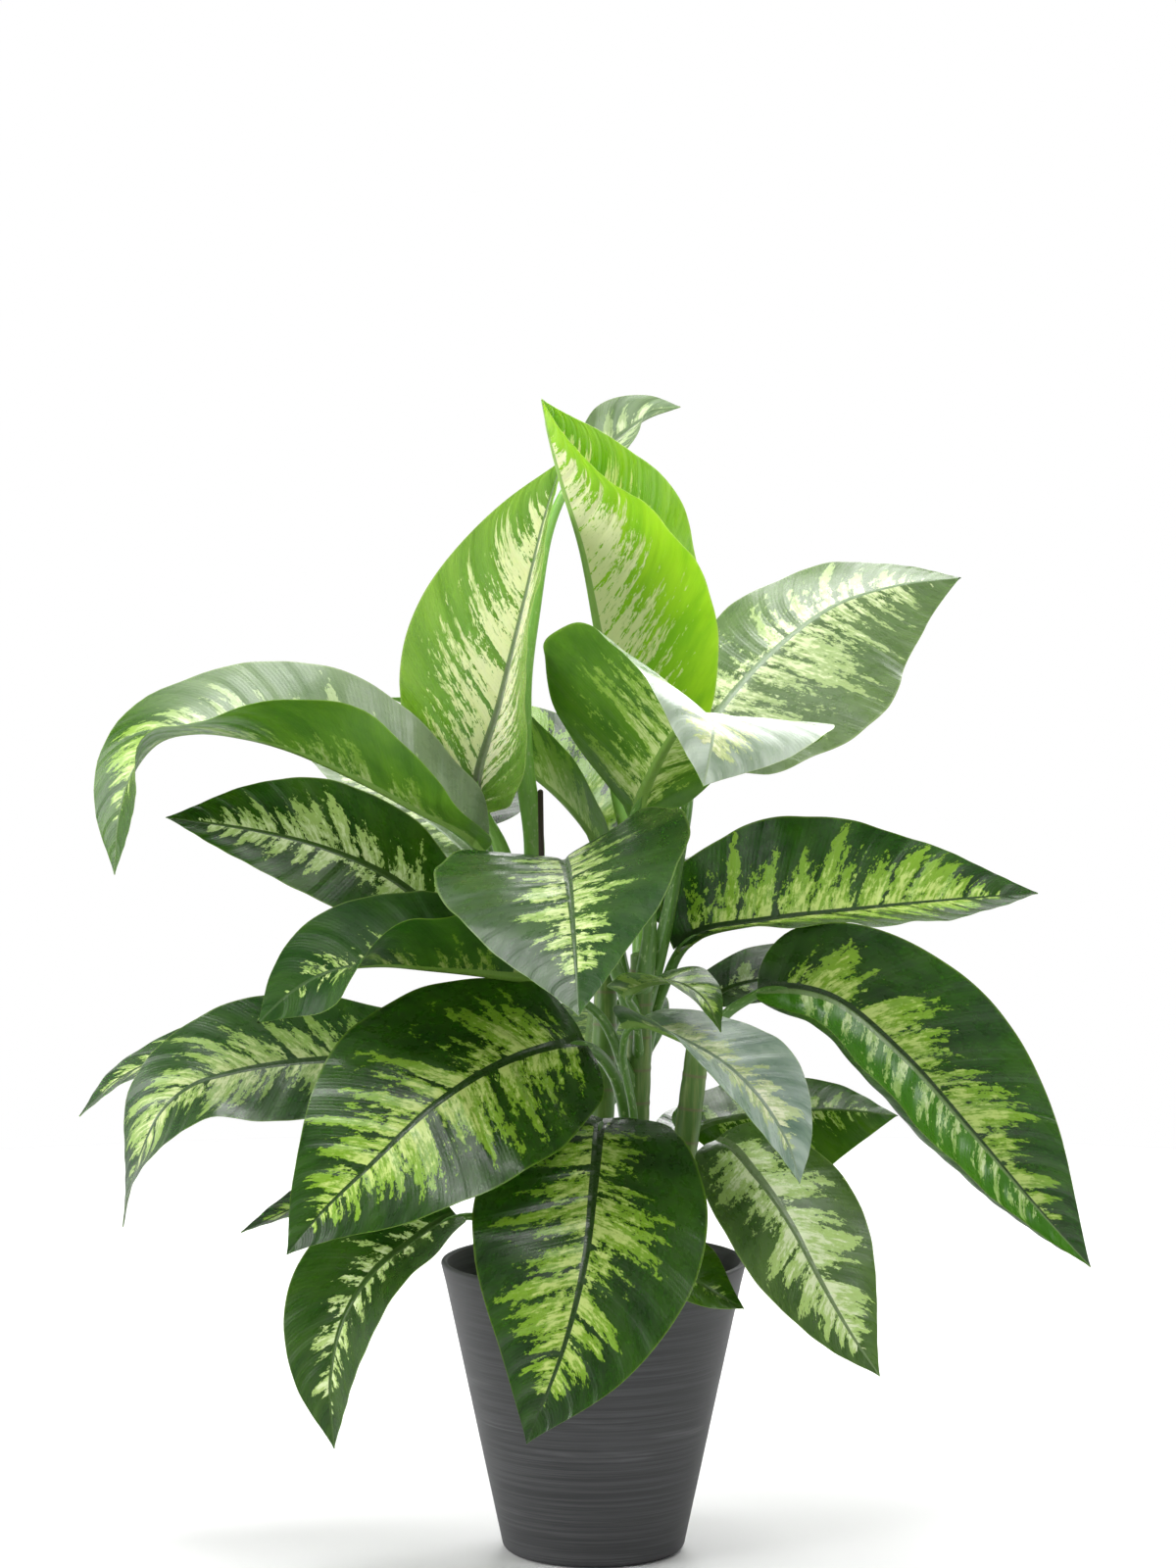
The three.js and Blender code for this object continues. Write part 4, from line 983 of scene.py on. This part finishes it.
# %% Leaf tones and shares
# In the shade and in the light, patch and its heart, midrib above and underneath.
Tone = namedtuple("Tone", "deep fresh lime cream rib keel")
TONES = {
    "mature": Tone((0.008, 0.028, 0.003), (0.021, 0.062, 0.004), (0.17, 0.31, 0.022),
                   (0.47, 0.58, 0.17), (0.020, 0.050, 0.008), (0.11, 0.21, 0.03)),
    "lively": Tone((0.026, 0.080, 0.003), (0.052, 0.13, 0.005), (0.24, 0.40, 0.05),
                   (0.56, 0.66, 0.27), (0.08, 0.15, 0.03), (0.14, 0.26, 0.04)),
    "bright": Tone((0.040, 0.090, 0.016), (0.080, 0.15, 0.032), (0.40, 0.57, 0.17),
                   (0.72, 0.82, 0.50), (0.15, 0.22, 0.09), (0.15, 0.26, 0.05)),
    "crisp": Tone((0.011, 0.038, 0.003), (0.030, 0.076, 0.005), (0.34, 0.47, 0.14),
                  (0.63, 0.73, 0.40), (0.050, 0.10, 0.02), (0.12, 0.22, 0.04)),
    "dull": Tone((0.015, 0.044, 0.010), (0.032, 0.078, 0.015), (0.25, 0.38, 0.09),
                 (0.56, 0.64, 0.30), (0.055, 0.10, 0.035), (0.12, 0.22, 0.04)),
    # grey: the leaf's green with a painted grey sheen, a soft reflection painted into the colour
    "grey": Tone((0.080, 0.135, 0.045), (0.120, 0.19, 0.065), (0.34, 0.45, 0.18),
                 (0.68, 0.76, 0.44), (0.19, 0.27, 0.14), (0.22, 0.32, 0.12)),
    # pale: the leaf's green washed out by a painted pale sheen, a reflection of bright light painted
    # into the colour
    "pale": Tone((0.135, 0.195, 0.105), (0.20, 0.27, 0.15), (0.40, 0.50, 0.26),
                 (0.70, 0.76, 0.52), (0.24, 0.31, 0.19), (0.24, 0.33, 0.15)),
    # frosted: the leaf's green under a painted blue-white sheen, a reflection painted into the colour
    "frosted_sheen": Tone((0.105, 0.185, 0.130), (0.40, 0.49, 0.42), (0.44, 0.55, 0.24),
                    (0.80, 0.84, 0.56), (0.24, 0.32, 0.22), (0.24, 0.33, 0.15)),
    "strip": Tone((0.038, 0.150, 0.005), (0.056, 0.19, 0.008), (0.26, 0.42, 0.10),
                  (0.56, 0.68, 0.34), (0.15, 0.24, 0.08), (0.15, 0.26, 0.05)),
    # silver: a painted blue-grey sheen over the green, a reflection of bright light painted into the
    # colour
    "silver_sheen": Tone((0.20, 0.27, 0.18), (0.46, 0.54, 0.44), (0.46, 0.55, 0.24),
                   (0.76, 0.80, 0.50), (0.30, 0.38, 0.24), (0.24, 0.33, 0.15)),
    "turning": Tone((0.095, 0.200, 0.022), (0.175, 0.31, 0.045), (0.40, 0.50, 0.20),
                    (0.76, 0.80, 0.50), (0.22, 0.28, 0.15), (0.26, 0.38, 0.10)),
    "young": Tone((0.135, 0.30, 0.010), (0.22, 0.41, 0.014), (0.42, 0.56, 0.15),
                  (0.76, 0.82, 0.46), (0.20, 0.36, 0.07), (0.28, 0.44, 0.12)),
}

# Tones above and underneath, how much is patterned, how far out that reaches, and how strong
# the pattern is underneath. A pair is for the left and the right half.
# The leaves with the grey, pale, frosted and silver tones carry painted sheen in their colour.
LEAF_LOOKS = {
    "leaf_crown_left": ("turning", "turning", 0.42, 1.0, 0.9),
    "leaf_crown_right": ("young", "young", 0.46, 0.90, 1.0),
    "leaf_crown_back": ("pale", "pale", 0.40, 0.90, 0.8),
    "leaf_centre_folded": ("silver_sheen", "lively", 0.40, 0.95, 0.8),
    "leaf_right_upper": ("grey", "dull", 0.22, 1.10, 0.6),
    "leaf_right_mid": ("mature", "mature", 0.45, 1.00, 0.6),
    "leaf_right_arching": (("mature", "strip"), "mature", (0.48, 0.00), 0.85, 0.6),
    "leaf_left_arching": (("lively", "pale"), "lively", (0.10, 0.38), 0.85, 0.45),
    "leaf_left_mid": ("crisp", "mature", 0.34, 0.85, 0.6),
    "leaf_left_trough": ("dull", "mature", -0.05, 0.85, 0.4),
    "leaf_left_low": ("dull", "dull", 0.40, 1.00, 0.6),
    "leaf_left_low_back": ("dull", "dull", 0.30, 1.00, 0.6),
    "leaf_left_behind": ("grey", "grey", 0.20, 0.90, 0.6),
    "leaf_back_centre": ("mature", "lively", 0.75, 1.10, 0.6),
    "leaf_front_left": ("mature", "mature", (0.48, 0.38), 1.00, 0.6),
    "leaf_front_centre": ("mature", "mature", 0.38, 0.90, 0.6),
    "leaf_front_right": ("frosted_sheen", "dull", 0.40, 0.75, 0.6),
    "leaf_front_right_small": ("lively", "lively", 0.45, 1.10, 0.8),
    "leaf_low_right": ("bright", "dull", 0.58, 0.98, 0.6),
    "leaf_low_left": ("crisp", "lively", 0.12, 0.75, 0.6),
    "leaf_rim_right": ("lively", "lively", -0.10, 0.80, 0.6),
    "leaf_centre_heart": ("dull", "dull", 0.30, 0.65, 0.6),
    "leaf_right_low_back": ("lively", "lively", 0.12, 0.80, 0.6),
    "leaf_right_under": ("crisp", "lively", 0.05, 0.80, 0.6),
}
PLAIN_LOOK = ("mature", "mature", 0.30, 0.95, 0.6)
# The last third of this leaf hangs down, and there the painted sheen of its pale half gives way, so that
# both halves have the same green.
GREEN_TIPPED = "leaf_left_arching"
# How strongly the upper skin mirrors, and the leaves where it is less than usual: the shaded ones
# and those that the photograph shows without a pale shine.
USUAL_GLOSS = 0.42
UNDER_GLOSS = 0.3
MATT = 0.2  # a gloss under this goes without the clear coat
LEAF_GLOSS = {
    "leaf_right_low_back": 0.12, "leaf_right_under": 0.12, "leaf_left_trough": 0.12,
    "leaf_right_mid": 0.12, "leaf_left_mid": 0.14, "leaf_low_left": 0.20,
    "leaf_centre_heart": 0.25, "leaf_front_left": 0.36,
}


# %% Leaf materials
UNDER_GAIN = 1.5  # how much paler the plain green is underneath
PLAIN_LEVEL = 4.05  # what the noises have to come up to, less a leaf's share, for a pale patch
CREAM_LEVEL = 1.65  # the same for the creamy heart of a patch


def both_halves(entry):
    """A look's entry is a pair for the left and the right half, or one value for both."""
    return entry if isinstance(entry, tuple) else (entry, entry)


def leaf_masks(tree, share, spread, young):
    """Where a leaf is patterned and how creamy it is there, next to the places on the blade."""
    blade = put(tree, "ShaderNodeUVMap", uv_map="blade").outputs[0]
    vein = put(tree, "ShaderNodeUVMap", uv_map="vein").outputs[0]
    split = put(tree, "ShaderNodeSeparateXYZ", {0: blade})
    along, across = split.outputs[0], split.outputs[1]
    right = step_of(tree, across, 0.495, 0.505)
    reach = sum_of(tree, "ABSOLUTE", add_up(tree, -1.0, (across, 2.0)))
    milky, scale = (0.5, 1.6) if young else (0.05, 1.0)
    fingers = grain_of(tree, vein, (0.72, 0.10, 1), scale, 1.0)
    ragged = grain_of(tree, vein, (2.3, 1.1, 1), scale, 5.0, 0.66)
    specks = grain_of(tree, vein, (9, 5, 1), 1.0, 2.0)
    outward = sum_of(tree, "POWER", sum_of(tree, "DIVIDE", reach, spread), 1.7)
    base = step_of(tree, along, 0.0, 0.10, 1.0, 0.0)
    tip = step_of(tree, along, 0.80, 0.98)
    value = add_up(tree, share[0] - PLAIN_LEVEL, (right, share[1] - share[0]), (fingers, 3.8),
                   (ragged, 3.4), (specks, 0.9), (outward, -1.5), (base, -0.7), (tip, -1.5))
    streaks = grain_of(tree, vein, (4.5, 0.6, 1), 1.0, 2.0)
    heart = add_up(tree, milky - CREAM_LEVEL, (value, 0.45), (streaks, 1.4), (ragged, 1.6),
                   (reach, -0.9))
    patched, creamy = step_of(tree, value, 0.0, 0.08), step_of(tree, heart, -0.25, 0.35)
    return along, reach, right, vein, patched, creamy


def skin_height(tree, vein):
    """Quilting between the side veins, fine veins and a faint grain."""
    place = put(tree, "ShaderNodeSeparateXYZ", {0: vein}).outputs[0]
    half_pleat = PLEAT / VEIN_UNIT / 2
    main = step_of(tree, sum_of(tree, "PINGPONG", place, half_pleat), 0.0, half_pleat / 2)
    fine = step_of(tree, sum_of(tree, "PINGPONG", place, 0.14), 0.0, 0.12)
    grain = grain_of(tree, vein, (9, 9, 1), 1.0, 3.0)
    return add_up(tree, main, (fine, 0.10), (grain, 0.35))


def skin_tone(tree, tones, under, masks):
    """Plain green, pattern, midrib and rim of one half of a leaf."""
    cloud, shown, cream, midrib, edge = masks
    gain = UNDER_GAIN if under else 1.0
    deep, fresh = (tuple(gain * n for n in colour) for colour in (tones.deep, tones.fresh))
    patch = blend_of(tree, cream, tones.lime, tones.cream)
    tone = blend_of(tree, shown, blend_of(tree, cloud, deep, fresh), patch)
    tone = blend_of(tree, midrib, tone, tones.keel if under else tones.rib)
    return blend_of(tree, edge, tone, tones.lime)


def leaf_material(name, tones, share, spread, patches, under, gloss):
    """The upper or the lower skin of one leaf; tones and share hold the left and right half's."""
    young = tones[0] in ("young", "turning")
    coat = 0.0 if under or gloss < MATT else 0.10
    material, tree, shader = new_material(
        name, Specular_IOR_Level=min(UNDER_GLOSS, gloss) if under else gloss, Coat_Weight=coat,
        Coat_Roughness=0.12, Subsurface_Weight=0.30 if young else 0.08,
        Subsurface_Scale=0.004, Subsurface_Radius=(0.6, 1.0, 0.25))
    along, reach, right, vein, patched, cream = leaf_masks(tree, share, spread, young)
    distance = put(tree, "ShaderNodeSeparateXYZ", {0: vein}).outputs[1]
    cloud = step_of(tree, grain_of(tree, vein, (0.40, 0.25, 1), 1.0, 3.0), 0.3, 0.7)
    shown = sum_of(tree, "MULTIPLY", patched, patches) if under else patched
    past_rib = add_up(tree, -0.42, (distance, 1.0), (along, 0.36))
    midrib = step_of(tree, past_rib, -0.03, 0.02, 1.0, 0.0)
    edge = step_of(tree, reach, 0.975, 0.998, 0.0, 0.35)
    masks = (cloud, shown, cream, midrib, edge)
    tone = skin_tone(tree, TONES[tones[0]], under, masks)
    if tones[1] != tones[0]:
        tone = blend_of(tree, right, tone, skin_tone(tree, TONES[tones[1]], under, masks))
    # Where the leaf hangs down, its pale half's painted sheen gives way to plain green.
    if name.startswith(GREEN_TIPPED):
        tip = skin_tone(tree, TONES["lively"], under, masks)
        tone = blend_of(tree, step_of(tree, along, 0.60, 0.76), tone, tip)
    tree.links.new(tone, shader.inputs["Base Color"])
    shine = grain_of(tree, vein, (1.2, 1.2, 1), 1.0, 3.0)
    low, high = (0.40, 0.54) if under else (0.22, 0.38)
    tree.links.new(step_of(tree, shine, 0.3, 0.7, low, high), shader.inputs["Roughness"])
    rough_up(tree, shader, skin_height(tree, vein), 0.0010, 0.42)
    return material


def stalk_material(name, young):
    """Streaked green with pale flecks. The usual greens are darkened by painted shade, the shade among
    the canes low in the plant; young stalks, up in the crown, are lighter.
    """
    material, tree, shader = new_material(name, Roughness=0.38, Specular_IOR_Level=0.45,
                                          Coat_Weight=0.1, Coat_Roughness=0.25)
    uv = put(tree, "ShaderNodeUVMap", uv_map="blade").outputs[0]
    streaks = grain_of(tree, uv, (34, 0.5, 1), 1.0, 3.0)
    mottle = grain_of(tree, uv, (10, 1.6, 1), 1.0, 4.0)
    # Painted shade: these greens are darker than the stalks' own, for the shade they stand in.
    dark, pale = ((0.045, 0.135, 0.014), (0.11, 0.25, 0.035))
    if young:
        dark, pale = (0.11, 0.29, 0.03), (0.24, 0.47, 0.08)
    tone = blend_of(tree, streaks, dark, pale)
    tone = blend_of(tree, step_of(tree, mottle, 0.56, 0.68, 0.0, 0.6), tone, (0.36, 0.50, 0.20))
    tree.links.new(tone, shader.inputs["Base Color"])
    rough_up(tree, shader, streaks, 0.0005, 0.5)
    return material


# %% Grow the leaves
shaded_stalk_green = stalk_material("shaded_stalk_green", False)
stalk_young = stalk_material("stalk_young", True)
faces_in_all = 0
for number, leaf in enumerate(LEAVES):
    name = leaf["name"]
    above, below, share, spread, patches = LEAF_LOOKS.get(name, PLAIN_LOOK)
    above, below, share = both_halves(above), both_halves(below), both_halves(share)
    root = cane_point(leaf["cane"], leaf["at"] * MM) / MM
    points = [root] + [Vector(p) for p in leaf["stalk"] + leaf["rib"]]
    joint = len(leaf["stalk"]) + 1
    whole = SmoothLine(points)
    rib = SmoothLine(points, joint)
    seed = (number * 0.37) % 1.0
    bm = new_plant_bmesh()
    add_blade(bm, leaf, rib, seed)
    add_stalk(bm, leaf, whole, whole.total - rib.total, rib)
    faces_in_all += len(bm.faces)
    young = name.startswith("leaf_crown")
    gloss = LEAF_GLOSS.get(name, USUAL_GLOSS)
    skins = [leaf_material(f"{name}_upper", above, share, spread, patches, False, gloss),
             leaf_material(f"{name}_under", below, share, spread, patches, True, gloss)]
    keep_piece(bm, f"{name}_grown", name,
               skins + [stalk_young if young else shaded_stalk_green])
print("leaf faces in all:", faces_in_all)
